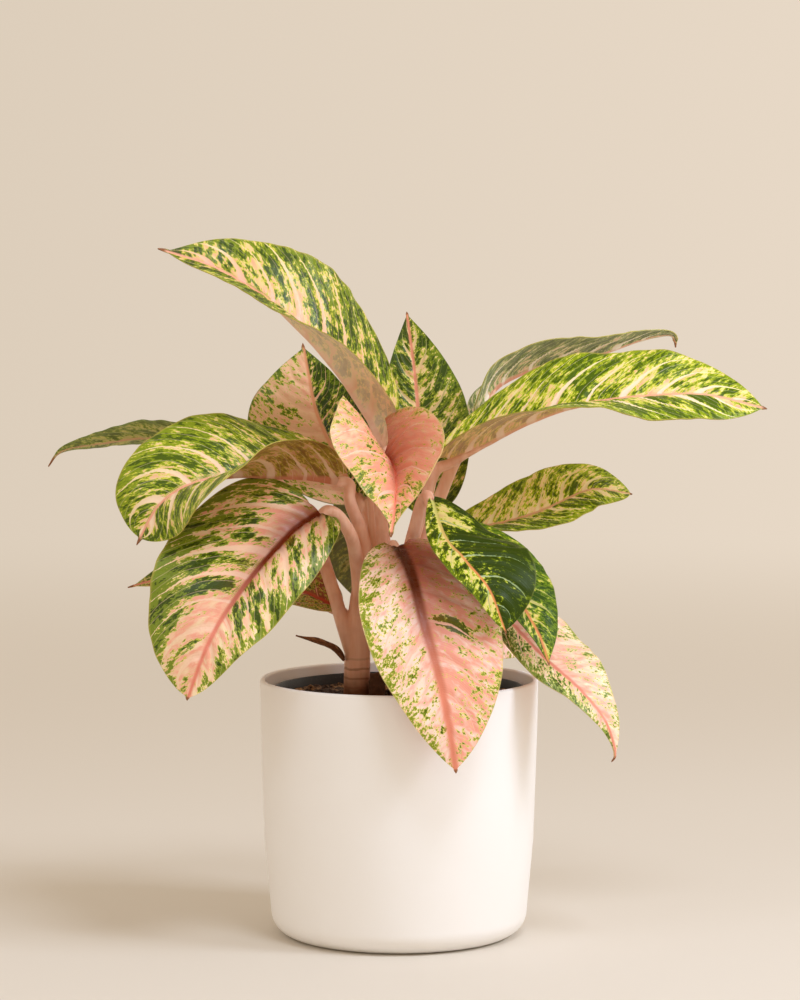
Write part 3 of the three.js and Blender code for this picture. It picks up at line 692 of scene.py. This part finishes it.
leaves["leaf_left_front"] = {
    "slot": "leaf_lime", "look": leftFrontLook,
    "patches": ((22, 10, 34, 14, -0.14), (118, 12, 36, 24, -0.2), (74, 26, 22, 22, 0.08)),
    "seed": 7.5, "tail": 0.015,
    "width": (65, 34), "belly": 0.34, "taper": 0.76, "lobe": 3,
    "midrib": (
        (-50, -37, 276), (-65, -51, 267), (-82, -66, 250), (-101, -80, 227), (-117, -90, 201),
        (-131, -96, 164),
    ),
    "face": ((-0.1, -0.6, 0.8), (-0.3, -0.9, 0.4), (-0.4, -0.95, 0.1)),
    "fold": ((21, 5, 0), (10, 4, 0)), "curl": ((-10, -16, -10), (-20, -26, -20)),
    "wave": (1.8, 2.5, 0.8),
}
leaves["leaf_front_centre"] = {
    "slot": "leaf_pink", "look": frontLook,
    "patches": ((75, -17, 7, 14, 0.36),), "seed": 3.8, "veins": 7, "tail": 0.015,
    "width": (38, 48), "belly": 0.5, "taper": 0.88,
    "midrib": (
        (-1, -26, 254), (7, -56, 241), (15, -88, 213), (25, -104, 178), (31, -110, 148),
        (35, -112, 121),
    ),
    "face": ((0, -0.5, 0.87), (0.05, -0.85, 0.5), (0.1, -1, 0.1)),
    "fold": ((8, 4, 2), (8, 4, 2)), "curl": ((-8, -12, -10), (-8, -12, -10)),
    "wave": (1.6, 3, 0.5),
}
leaves["leaf_far_left"] = {
    "slot": "leaf_shaded", "look": farLeftLook,
    "seed": 5.2, "tail": 0.05, "width": (28, 26),
    "midrib": (
        (-97, 30, 306), (-127, 38, 315), (-163, 46, 320), (-197, 50, 316), (-224, 52, 310),
        (-232, 52, 300),
    ),
    "face": ((0, 0.35, 0.93), (0, 0.35, 0.93), (0, 0.35, 0.93)),
    "fold": ((16, 10, 4), (16, 10, 4)), "curl": ((0, 0, 0), (0, -4, -4)),
}
leaves["leaf_low_left"] = {
    "slot": "leaf_shaded", "look": lowLeftLook,
    "seed": 6.1, "width": (30, 22),
    "midrib": ((-44, 9, 213), (-68, 14, 223), (-97, 20, 230), (-136, 26, 232), (-178, 30, 222)),
    "face": ((0, -0.6, 0.8), (0, -0.6, 0.8), (-0.1, -0.6, 0.8)),
    "fold": ((10, 6, 2), (14, 8, 2)),
}
leaves["leaf_right_front"] = {
    "slot": "leaf_green", "look": rightFrontLook,
    "patches": ((12, -12, 18, 14, -0.3),), "seed": 8.8, "veins": 6, "tail": 0.02,
    "width": (14, 42), "belly": 0.8, "taper": 0.85, "lobe": 3,
    "midrib": ((21, -34, 284), (29, -62, 263), (41, -84, 250), (55, -98, 234), (66, -102, 206)),
    "face": ((0.3, -0.7, 0.7), (0.4, -0.8, 0.45), (0.4, -0.9, 0.1)),
    "fold": ((0, 0, 0), (20, 14, 6)), "curl": ((-10, -16, -10), (-10, -24, -20)),
}
leaves["leaf_right_front_second"] = {
    "slot": "leaf_green", "look": rightSecondLook,
    "seed": 2.9, "veins": 7, "tail": 0.02, "width": (14, 33),
    "midrib": ((40, -22, 264), (58, -43, 246), (75, -60, 223), (88, -70, 201), (94, -74, 183)),
    "face": ((0.4, -0.7, 0.6), (0.5, -0.8, 0.4), (0.5, -0.85, 0.2)),
    "fold": ((6, 4, 2), (12, 8, 4)), "curl": ((0, 0, 0), (-10, -20, -16)),
}
leaves["leaf_right_low"] = {
    "slot": "leaf_pink", "look": rightLowLook,
    "seed": 9.9, "veins": 9,
    "width": (17, 34), "belly": 0.6, "taper": 1.2,
    "midrib": (
        (52, -10, 227), (71, -28, 206), (93, -48, 184), (114, -60, 166), (130, -64, 146),
        (136, -62, 124), (134, -60, 120),
    ),
    "face": ((0.4, -0.7, 0.7), (0.45, -0.8, 0.5), (0.6, -0.8, 0.1)),
    "fold": ((4, 2, 0), (8, 4, 2)), "curl": ((0, -6, -6), (-6, -12, -10)),
    "wave": (1.4, 3, 2),
}
leaves["leaf_right_low_second"] = {
    "slot": "leaf_pink", "look": lowSecondLook,
    "seed": 4.9, "veins": 5, "width": (34, 20),
    "midrib": ((32, 26, 222), (50, 31, 211), (72, 35, 196), (94, 37, 178)),
    "face": ((0.2, -0.7, 0.7), (0.25, -0.85, 0.55), (0.3, -0.85, 0.45)),
    "fold": ((10, 6, 2), (10, 6, 2)),
}
leaves["leaf_back_low"] = {
    "slot": "leaf_shaded", "look": backLowLook,
    "seed": 7.9, "veins": 5, "width": (22, 22),
    "midrib": ((-20, 50, 284), (-26, 64, 262), (-31, 72, 236), (-28, 76, 207)),
    "face": ((0, 0.7, 0.7), (0, 0.95, 0.3), (0, 1, 0.1)),
    "fold": ((12, 8, 2), (12, 8, 2)),
}


for node, leaf in leaves.items():
    leaves[node] = {**usualLeaf, **leaf, "piece": "blade" + node[5:].title().replace("_", "")}


def bladeMaterial(leaf, under):
    # living leaf, waxy cuticle over cells: a satin green of ragged flecks strung between pale side veins,
    # over a pink or cream ground; the underside is paler and duller, and its veins stand out
    look = leaf["look"]
    material, add = startMaterial(leaf["piece"] + ("Underside" if under else "Cuticle"))
    mapUv, flatUv, planeUv = (add("UVMap", uv_map=name)[0] for name in leafMaps)
    u, v, _ = add("SeparateXYZ", (mapUv,))
    swept, out, _ = add("SeparateXYZ", (flatUv,))
    signed = add("Math", (v, 2, -1), **timesPlus)[0]
    share = add("Math", (signed,), operation="ABSOLUTE")[0]
    halfB = add("Math", (signed, 0), operation="GREATER_THAN")[0]

    def onHalves(pair):
        # a value of its own on each half
        return add("Math", (halfB, pair[1] - pair[0], pair[0]), **timesPlus)[0]

    def offMiddle(value):
        # how far a number is from the middle between two whole numbers
        part = add("Math", (value,), operation="FRACT")[0]
        part = add("Math", (part, 0.5), operation="SUBTRACT")[0]
        return add("Math", (part,), operation="ABSOLUTE")[0]

    # side veins: their distance in metres, each with its own width, widest near the midrib
    spacing = leaf["rib"].length / leaf["veins"]
    sway = add("TexNoise", {"Vector": flatUv, "Scale": 70, "Detail": 2})[0]
    bent = add("Math", (sway, 4 * mm, swept), **timesPlus)[0]
    run = add("Math", (bent, 1 / spacing, -2 * mm / spacing), **timesPlus)[0]
    phase = add("Math", (halfB, bladeForm["halfShift"], run), **timesPlus)[0]
    number = add("Math", (phase,), operation="FLOOR")[0]
    which = add("CombineXYZ", (number, halfB, leaf["seed"]))[0]
    lot = add("TexWhiteNoise", {"Vector": which})[0]
    ragged = add("TexNoise", {"Vector": flatUv, "Scale": 600, "Detail": 2})[0]
    ragged = add("Math", (ragged, 1.4 * mm, -0.7 * mm), **timesPlus)[0]
    offVein = offMiddle(phase)
    gap = add("Math", (offVein, spacing, ragged), **timesPlus)[0]
    width = add("Math", (lot, look["veinWide"] * 1.1 * mm, look["veinWide"] * 0.45 * mm), **timesPlus)[0]
    thin = add("MapRange", (share, 0.08, 0.95, 1, 0.08))[0]
    width = add("Math", (width, thin), **times)[0]
    inside = add("Math", (gap, width), operation="DIVIDE")[0]
    vein = add("MapRange", (inside, 0.65, 1.3, 1, 0), **smoothly)[0]
    fine = add("Math", (phase, 3), **times)[0]
    fine = add("MapRange", (offMiddle(fine), 0.02, 0.9 * mm / spacing, look["fineVeins"], 0))[0]
    veins = add("Math", (vein, fine), operation="MAXIMUM")[0]
    veins = add("Math", (veins, 0.9), **times)[0]
    veinTone = add("Mix", {0: share, 6: look["vein"], 7: look["veinEnd"]}, **inColour)[2]

    # flecks: noise drawn out a little along the side veins, gathered into clusters between them. "level" is
    # how green a point is: more by the margin and in the patches, less on the veins and by the midrib.
    acrossVein, alongVein = (size * mm for size in look["fleck"])
    turned = add("Mapping", {"Vector": planeUv, "Rotation": (0, 0, -look["veinLean"])})[0]
    place = add("Mapping", {
        "Vector": turned, "Location": (0, 0, leaf["seed"]), "Scale": (1 / alongVein, 1 / acrossVein, 1)})[0]
    flecks = add("TexNoise", {"Vector": place, "Scale": 1, "Detail": 3, "Roughness": 0.6})[0]
    clusters = add("TexNoise", {"Vector": place, "Scale": 0.24, "Detail": 2})[0]
    grain = add("TexNoise", {"Vector": place, "Scale": 2.6, "Detail": 1})[0]
    less = look["cluster"] + look["band"] * 0.25 + (0.04 if under else 0)
    rise = add("Math", (share, 3), operation="POWER")[0]
    rise = add("Math", (rise, onHalves(look["margin"])), **times)[0]
    inner = add("MapRange", (share, 0, 0.22, -0.10, 0))[0]
    pale = add("MapRange", (grain, 0.56, 0.68, 0, -0.11))[0]
    parts = [
        (clusters, look["cluster"] * 2), (onHalves([cover - less for cover in look["cover"]]), 1),
        (offVein, look["band"]), (rise, 1), (vein, -0.3), (inner, 1), (pale, 1),
    ]
    for centreSwept, centreOut, reachSwept, reachOut, amount in leaf["patches"]:
        east = add("MapRange", (swept, centreSwept * mm, (centreSwept + reachSwept) * mm), clamp=False)[0]
        north = add("MapRange", (out, centreOut * mm, (centreOut + reachOut) * mm), clamp=False)[0]
        away = add("CombineXYZ", (east, north))[0]
        away = add("VectorMath", (away,), operation="LENGTH")["Value"]
        patch = add("MapRange", (away, 0.5, 1.1, amount, 0), **smoothly)[0]
        parts.append((patch, 1))
    level = flecks
    for part, weight in parts:
        level = add("Math", (part, weight, level), **timesPlus)[0]
    core = add("Math", (rise, -1.2, level), **timesPlus)[0]

    # the ground between the flecks, streaked along the side veins and pinker near the midrib
    drawn = add("Mapping", {"Vector": turned, "Scale": (0.4, 1, 1)})[0]
    mottles = add("TexNoise", {
        "Vector": drawn, "Scale": 1 / (look["mottle"] * mm), "Detail": 4, "Roughness": 0.6,
        "Distortion": 0.5})[0]
    near = add("Math", (share, -0.5, onHalves(look["blushNear"])), **timesPlus)[0]
    blush = add("Math", (mottles, 4.0, -2.0), **timesPlus)[0]
    blush = add("Math", (near, blush), operation="ADD", use_clamp=True)[0]

    # the layers of colour, each with its mask; the green by the margin has no dark cores
    layers = [(blush, look["blush"])]
    flecksOf = {"lime": (level, 0.03), "green": (level, 0.025), "dark": (core, 0.06)}
    for low, (colour, (height, soft)) in zip(look["steps"], flecksOf.items()):
        mask = add("MapRange", (height, low, low + soft, 0, 0.94), **smoothly)[0]
        layers.append((mask, look[colour]))
    layers.append((veins, veinTone))
    offRib = add("Math", (out,), operation="ABSOLUTE")[0]
    # painted shade: a darker tone laid along the lower part of the midrib and out from it, for the shade in
    # its trough and under the leaves above
    if look["ribShade"]:
        reach = onHalves([wide * mm for wide in look["shadeWide"]])
        paintedRibShade = add("MapRange", (offRib, 0, reach, look["ribShade"], 0), **smoothly)[0]
        ahead = add("MapRange", (u, 0.16, 0.66, 1, 0))[0]
        paintedRibShade = add("Math", (paintedRibShade, ahead), **times)[0]
        layers.append((paintedRibShade, look["shadeTone"]))
    tapered = add("Math", (u, look["ribWide"] * 0.55 * mm, offRib), **timesPlus)[0]
    rib = add("MapRange", (
        tapered, look["ribWide"] * 0.6 * mm, look["ribWide"] * 1.5 * mm, 1, 0), **smoothly)[0]
    fadeFrom, fadeFull = look["ribFade"]
    fade = add("MapRange", (u, fadeFrom, fadeFull))[0]
    layers.append((rib, add("Mix", {0: fade, 6: look["ribBase"], 7: look["ribTip"]}, **inColour)[2]))
    edge = add("MapRange", (share, 0.97, 1, 0, 0.7))[0]
    layers.append((edge, look["edge"]))
    if under:
        tint = add("MapRange", (mottles, 0.3, 0.7, look["underTint"], look["underTint"] + 0.2))[0]
        ridge = add("Math", (veins, 0.4), **times)[0]
        layers += [(tint, look["under"]), (ridge, veinTone)]
    dried = add("MapRange", (u, 1 - leaf["tail"] * 1.3, 1 - leaf["tail"] * 0.7), **smoothly)[0]
    layers.append((dried, look["tip"]))
    tone = look["cream"]
    for mask, colour in layers:
        tone = add("Mix", {0: mask, 6: tone, 7: colour}, **inColour)[2]

    # cells 0.7 mm across and parallel veins 1.6 mm apart, drawn coarser than they are so that they show
    cells = add("TexVoronoi", {"Vector": flatUv, "Scale": 1400})[0]
    lines = add("Math", (swept, 2 * math.pi / (1.6 * mm)), **times)[0]
    lines = add("Math", (lines,), operation="SINE")[0]
    height = add("Math", (lines, 0.3, cells), **timesPlus)[0]
    bump = add("Bump", {"Height": height, "Strength": 0.22, "Distance": 0.25 * mm})[0]
    base = look["roughness"] + (0.2 if under else 0)
    rough = add("MapRange", (mottles, 0.3, 0.7, base - 0.05, base + 0.08))[0]
    return finishMaterial(material, add, {
        "Base Color": tone, "Roughness": rough, "Normal": bump, "IOR": 1.45,
        "Specular IOR Level": look["shine"]})


def makeBlades():
    for node, leaf in leaves.items():
        makeBlade(node, leaf)
    print("blades done:", len(leaves))


# Canes and leaf stalks, run together as they have grown. A stalk runs on under its blade as a keel.

shoots = {}
shoots["shoot_left"] = {
    "piece": "shootLeft", "cane": ((-27, 0, 119.5), (-27, 0, 178), (-25, 0, 215), (-22, 0, 244)),
    "stalks": {
        "leaf_back_left": ((-25, 3, 205), (-23, 6, 224), (-26, 18, 254)),
        "leaf_left_upper": ((-24, 0, 205), (-21, 0, 233), (-24, -2, 260), (-32, -6, 283)),
        "leaf_left_front": ((-26, -1, 200), (-27, -5, 238), (-34, -20, 266)),
        "leaf_far_left": ((-29, 0, 178), (-35, -2, 197), (-44, 2, 227), (-54, 10, 254), (-80, 24, 292)),
        "leaf_low_left": ((-29, 3, 184), (-35, 7, 198)),
        "leaf_back_low": ((-24, 4, 205), (-25, 12, 226), (-20, 30, 262)),
    },
}
shoots["shoot_middle"] = {
    "piece": "shootMiddle", "cane": ((3, 6, 119.5), (3, 6, 178), (4, 6, 215), (5, 7, 240)),
    "stalks": {
        "leaf_top_left": ((0, 8, 200), (-8, 11, 222), (-14, 16, 253), (-16, 21, 286)),
        "leaf_crown_back": ((4, 9, 205), (6, 16, 228), (13, 28, 254)),
        "leaf_heart": ((0, 6, 205), (-8, 4, 242), (-12, -2, 275), (-13, -12, 300)),
        "leaf_right_long": ((4, 4, 205), (6, 3, 240), (18, 1, 284)),
        "leaf_right_back": ((6, 10, 205), (8, 14, 232), (22, 18, 270), (42, 28, 315)),
        "leaf_right_middle": ((6, 5, 205), (10, 4, 234), (22, 4, 252)),
        "leaf_front_centre": ((3, 1, 200), (3, -1, 222), (1, -8, 241)),
        "leaf_right_front": ((3, 1, 205), (4, -2, 230), (10, -16, 264)),
        "leaf_right_front_second": ((6, 3, 200), (9, 1, 225), (22, -8, 248)),
        "leaf_right_low": ((7, 5, 190), (10, 5, 208), (22, 2, 226)),
        "leaf_right_low_second": ((7, 9, 178), (8, 12, 192), (16, 17, 212)),
    },
}
stalkForm = {
    "radii": (5.0, 4.2, 3.4), "caneRadii": (9.0, 8.0, 4.6), "drop": 4.7, "gap": 0.45, "straight": 9,
    "voxel": 0.9 * mm,
    "keel": ((0.06, 3.5, 2.3), (0.14, 2.6, 1.4)),  # place along the midrib, depth below it and radius
    "flesh": "#E4AA88", "pale": "#F2C6A8", "shadow": "#CC8E70", "sheath": "#75492C", "scar": "#8A583A",
    "sheathLow": 171 * mm, "sheathTop": 190 * mm, "sheathRagged": 30 * mm,
    "scarLow": 172 * mm, "scarTop": 184 * mm, "scarRagged": 6 * mm, "scarStep": 6 * mm,
}


def stalkFlesh():
    # living leaf stalk: pale pink and watery under a waxy skin, streaked lengthways; papery brown at the
    # foot, with the ring scars of fallen leaves
    form = stalkForm
    material, add = startMaterial("stalkLivingFlesh")
    place = add("TexCoord")["Object"]
    height = add("SeparateXYZ", (place,))[2]
    stretched = add("Mapping", {"Vector": place, "Scale": (1, 1, 0.12)})[0]
    streaks = add("TexNoise", {"Vector": stretched, "Scale": 260, "Detail": 2})[0]
    patches = add("TexNoise", {"Vector": place, "Scale": 55, "Detail": 3})[0]
    lit = add("MapRange", (streaks, 0.25, 0.75))[0]
    deep = add("MapRange", (patches, 0.48, 0.72, 0, 0.6))[0]
    ragged = add("Math", (patches, form["sheathRagged"], height), **timesPlus)[0]
    old = add("MapRange", (ragged, form["sheathLow"], form["sheathTop"], 1, 0), **smoothly)[0]
    ring = add("Math", (patches, form["scarRagged"], height), **timesPlus)[0]
    ring = add("Math", (ring, 2 * math.pi / form["scarStep"]), **times)[0]
    ring = add("Math", (ring,), operation="SINE")[0]
    low = add("MapRange", (height, form["scarLow"], form["scarTop"], 0.6, 0))[0]
    scar = add("MapRange", (ring, 0.5, 1), **smoothly)[0]
    scar = add("Math", (scar, low), **times)[0]
    tone = form["flesh"]
    for mask, colour in ((lit, "pale"), (deep, "shadow"), (old, "sheath"), (scar, "scar")):
        tone = add("Mix", {0: mask, 6: tone, 7: form[colour]}, **inColour)[2]
    rough = add("MapRange", {"Value": old, "To Min": 0.42, "To Max": 0.85})[0]
    bump = add("Bump", {"Height": streaks, "Strength": 0.12, "Distance": 0.5 * mm})[0]
    return finishMaterial(material, add, {
        "Base Color": tone, "Roughness": rough, "Normal": bump, "IOR": 1.42, "Subsurface Weight": 0.15,
        "Subsurface Radius": (1.0, 0.4, 0.25), "Subsurface Scale": 3 * mm})


def rod(route, radii, name):
    # a curve with a round section, its radius given at each point, turned into a mesh
    deselectAll()
    bpy.ops.curve.primitive_bezier_curve_add()
    curve = bpy.context.object
    spline = curve.data.splines[0]
    spline.bezier_points.add(len(route) - len(spline.bezier_points))
    for point, place, radius in zip(spline.bezier_points, route, radii):
        point.co = place
        point.handle_left_type = point.handle_right_type = "AUTO"
        point.radius = radius
    curve.data.bevel_depth = 1
    curve.data.bevel_resolution = 5
    curve.data.resolution_u = 9
    curve.data.use_fill_caps = True
    curve.name = name
    bpy.ops.object.convert(target="MESH")
    return bpy.context.object


def stalkRoute(node, points):
    leaf = leaves[node]
    point, up, _ = bladePoint(leaf, 0, 0, 1)
    tangent = leaf["rib"].tangentAt(0)
    end = point - up * stalkForm["drop"] * mm - tangent * stalkForm["gap"] * mm
    route = [Vector(p) * mm for p in points] + [end - tangent * stalkForm["straight"] * mm, end]
    count = len(route)
    radii = [blend(stalkForm["radii"], k / (count - 1)) * mm for k in range(count)]
    for u, depth, radius in stalkForm["keel"]:
        keel, up, _ = bladePoint(leaf, u, 0, 1)
        route.append(keel - up * depth * mm)
        radii.append(radius * mm)
    return route, radii


def makeShoots():
    flesh = stalkFlesh()
    for node, shoot in shoots.items():
        cane = [Vector(p) * mm for p in shoot["cane"]]
        radii = [blend(stalkForm["caneRadii"], k / (len(cane) - 1)) * mm for k in range(len(cane))]
        rods = [rod(cane, radii, "cane")]
        for leafNode, points in shoot["stalks"].items():
            rods.append(rod(*stalkRoute(leafNode, points), "stalk"))
        piece = joinPieces(rods, shoot["piece"])
        addModifier(piece, "REMESH", mode="VOXEL", voxel_size=stalkForm["voxel"])
        addModifier(piece, "SMOOTH", factor=0.5, iterations=5)
        applyModifiers(piece)
        piece.data.materials.append(flesh)
        finishPiece(piece, node)
    print("shoots done")


# What has died back: the stub of an old cane and one dried leaf

oldStub = {
    "route": ((-14, -9, 133.5), (-14, -9, 150), (-14.2, -9, 162), (-15, -9, 170)),
    "radii": (5.0, 5.1, 5.2, 3.6), "voxel": 0.6 * mm, "knobs": 0.9 * mm,
    "brown": "#6B4428", "dark": "#3A2212",
}
dryLeaf = {
    **usualLeaf, "piece": "leafDried", "slot": "dry_leaf", "seed": 1.3, "veins": 4, "width": (2.8, 2.4),
    "lobe": 0, "ribDepth": 0.5, "wave": (0.6, 2, 0), "rows": 40, "columns": 8, "uneven": 0.3,
    "midrib": ((-34.9, -4.6, 179), (-43, -10, 187), (-55, -14, 192), (-66, -18, 196)),
    "face": ((-0.3, -0.5, 0.8), (-0.2, -0.6, 0.8), (0, -0.6, 0.8)),
    "fold": ((40, 30, 20), (40, 30, 20)), "curl": ((10, 10, 10), (10, 10, 10)),
    "look": {
        **limeLook, "cream": "#A87A52", "blush": "#8A5C3A", "lime": "#9A6B45", "green": "#7A5030",
        "dark": "#5A3820", "vein": "#B08860", "veinEnd": "#A87A52", "edge": "#6A4428",
        "ribBase": "#5A3820", "ribTip": "#8A5C3A", "under": "#8E6442", "roughness": 0.75,
    },
}


def deadBark():
    # an old cane, died back and dried: corky, brown on its ridges and dark in its cracks
    material, add = startMaterial("caneDriedCork")
    place = add("TexCoord")["Object"]
    cork = add("TexNoise", {"Vector": place, "Scale": 380, "Detail": 5, "Roughness": 0.7})[0]
    tone = add("Mix", {0: cork, 6: oldStub["dark"], 7: oldStub["brown"]}, **inColour)[2]
    bump = add("Bump", {"Height": cork, "Strength": 0.8, "Distance": 1 * mm})[0]
    return finishMaterial(material, add, {"Base Color": tone, "Roughness": 0.88, "Normal": bump})


def makeDeadParts():
    route = [Vector(p) * mm for p in oldStub["route"]]
    stub = rod(route, [r * mm for r in oldStub["radii"]], "caneStub")
    stub.data.name = "caneStub"
    addModifier(stub, "REMESH", mode="VOXEL", voxel_size=oldStub["voxel"])
    applyModifiers(stub)
    for vertex in stub.data.vertices:
        knob = noise.noise(vertex.co / (3.2 * mm)) + 0.5 * noise.noise(vertex.co / (1.3 * mm))
        vertex.co += vertex.normal * oldStub["knobs"] * knob
    stub.data.materials.append(deadBark())
    finishPiece(stub, "cane_stub")
    makeBlade("dry_leaf", dryLeaf)
    print("dead parts done")


# Floor, light and camera

stage = {
    "floor": "#D9D0C2", "sky": "#E8D9C7", "shade": "#DCCDBA", "turn": 3.3,
    "floorSize": 40.0, "fadeFrom": 0.35, "fadeFull": 3.2,
    # each light's place, width, power and colour
    "keyLight": ((1.57, -0.64, 1.28), 0.55, 21, "#DCE9FF"),
    "topLight": ((0.45, -0.96, 1.92), 0.5, 13, "#DCE9FF"),
    "fillLight": ((-1.35, -1.30, 1.55), 0.7, 4.5, "#D6E6FF"),
    "aim": (0, 0, 0.22), "cameraPlace": (0, -2.060, 0.429), "cameraTilt": math.radians(85.9),
    "lens": 115.3, "sensor": 36, "shift": 0.001,
}


def roomTone(add, aside):
    # the room is a little darker on the left, away from the light
    share = add("Math", (aside, stage["turn"], 0.5), operation="MULTIPLY_ADD", use_clamp=True)[0]
    return add("Mix", {0: share, 6: stage["shade"], 7: stage["sky"]}, **inColour)[2]


def floorBoard():
    # painted board, rolled: matt, with a faint stipple; far away it fades into a painted glow in the air's
    # colour, darker on the left
    material, add = startMaterial("boardPaintedPale")
    place = add("TexCoord")["Object"]
    stipple = add("TexNoise", {"Vector": place, "Scale": 300, "Detail": 2})[0]
    bump = add("Bump", {"Height": stipple, "Strength": 0.05, "Distance": 1 * mm})[0]
    paint = add("BsdfPrincipled", {"Base Color": stage["floor"], "Roughness": 0.8, "Normal": bump})[0]
    seen = add("VectorMath", (place, stage["cameraPlace"]), operation="SUBTRACT")[0]
    seen = add("VectorMath", (seen,), operation="NORMALIZE")[0]
    aside = add("SeparateXYZ", (seen,))[0]
    glow = add("Emission", {"Color": roomTone(add, aside), "Strength": 1})[0]
    away = add("VectorMath", (place,), operation="LENGTH")["Value"]
    far = add("MapRange", (away, stage["fadeFrom"], stage["fadeFull"]), **smoothly)[0]
    mixed = add("MixShader", (far, paint, glow))[0]
    add("OutputMaterial", (mixed,))
    return material


def makeStage():
    deselectAll()
    bpy.ops.mesh.primitive_plane_add(size=stage["floorSize"], location=(0, 0, 0))
    floor = bpy.context.object
    floor.name = floor.data.name = "paleFloor"
    floor.data.materials.append(floorBoard())

    world = bpy.context.scene.world = bpy.data.worlds.new("paleRoom")
    add = startTree(world)
    look = add("TexCoord")["Generated"]
    aside = add("SeparateXYZ", (look,))[0]
    air = add("Background", (roomTone(add, aside), 1))[0]
    add("OutputWorld", (air,))

    for name in ("keyLight", "topLight", "fillLight"):
        place, width, power, colour = stage[name]
        bpy.ops.object.light_add(type="AREA", location=place)
        light = bpy.context.object
        light.name = name
        light.data.size = width
        light.data.energy = power
        light.data.color = hexColour(colour)[:3]
        light.rotation_euler = (Vector(stage["aim"]) - light.location).to_track_quat("-Z", "Y").to_euler()

    bpy.ops.object.camera_add(location=stage["cameraPlace"], rotation=(stage["cameraTilt"], 0, 0))
    camera = bpy.context.object
    camera.name = "frontCamera"
    camera.data.sensor_width = stage["sensor"]
    camera.data.lens = stage["lens"]
    camera.data.shift_x = stage["shift"]
    bpy.context.scene.camera = camera
    bpy.context.scene.view_settings.view_transform = "Standard"
    print("stage done")


makePots()
makeSoil()
makeBlades()
makeShoots()
makeDeadParts()
makeStage()
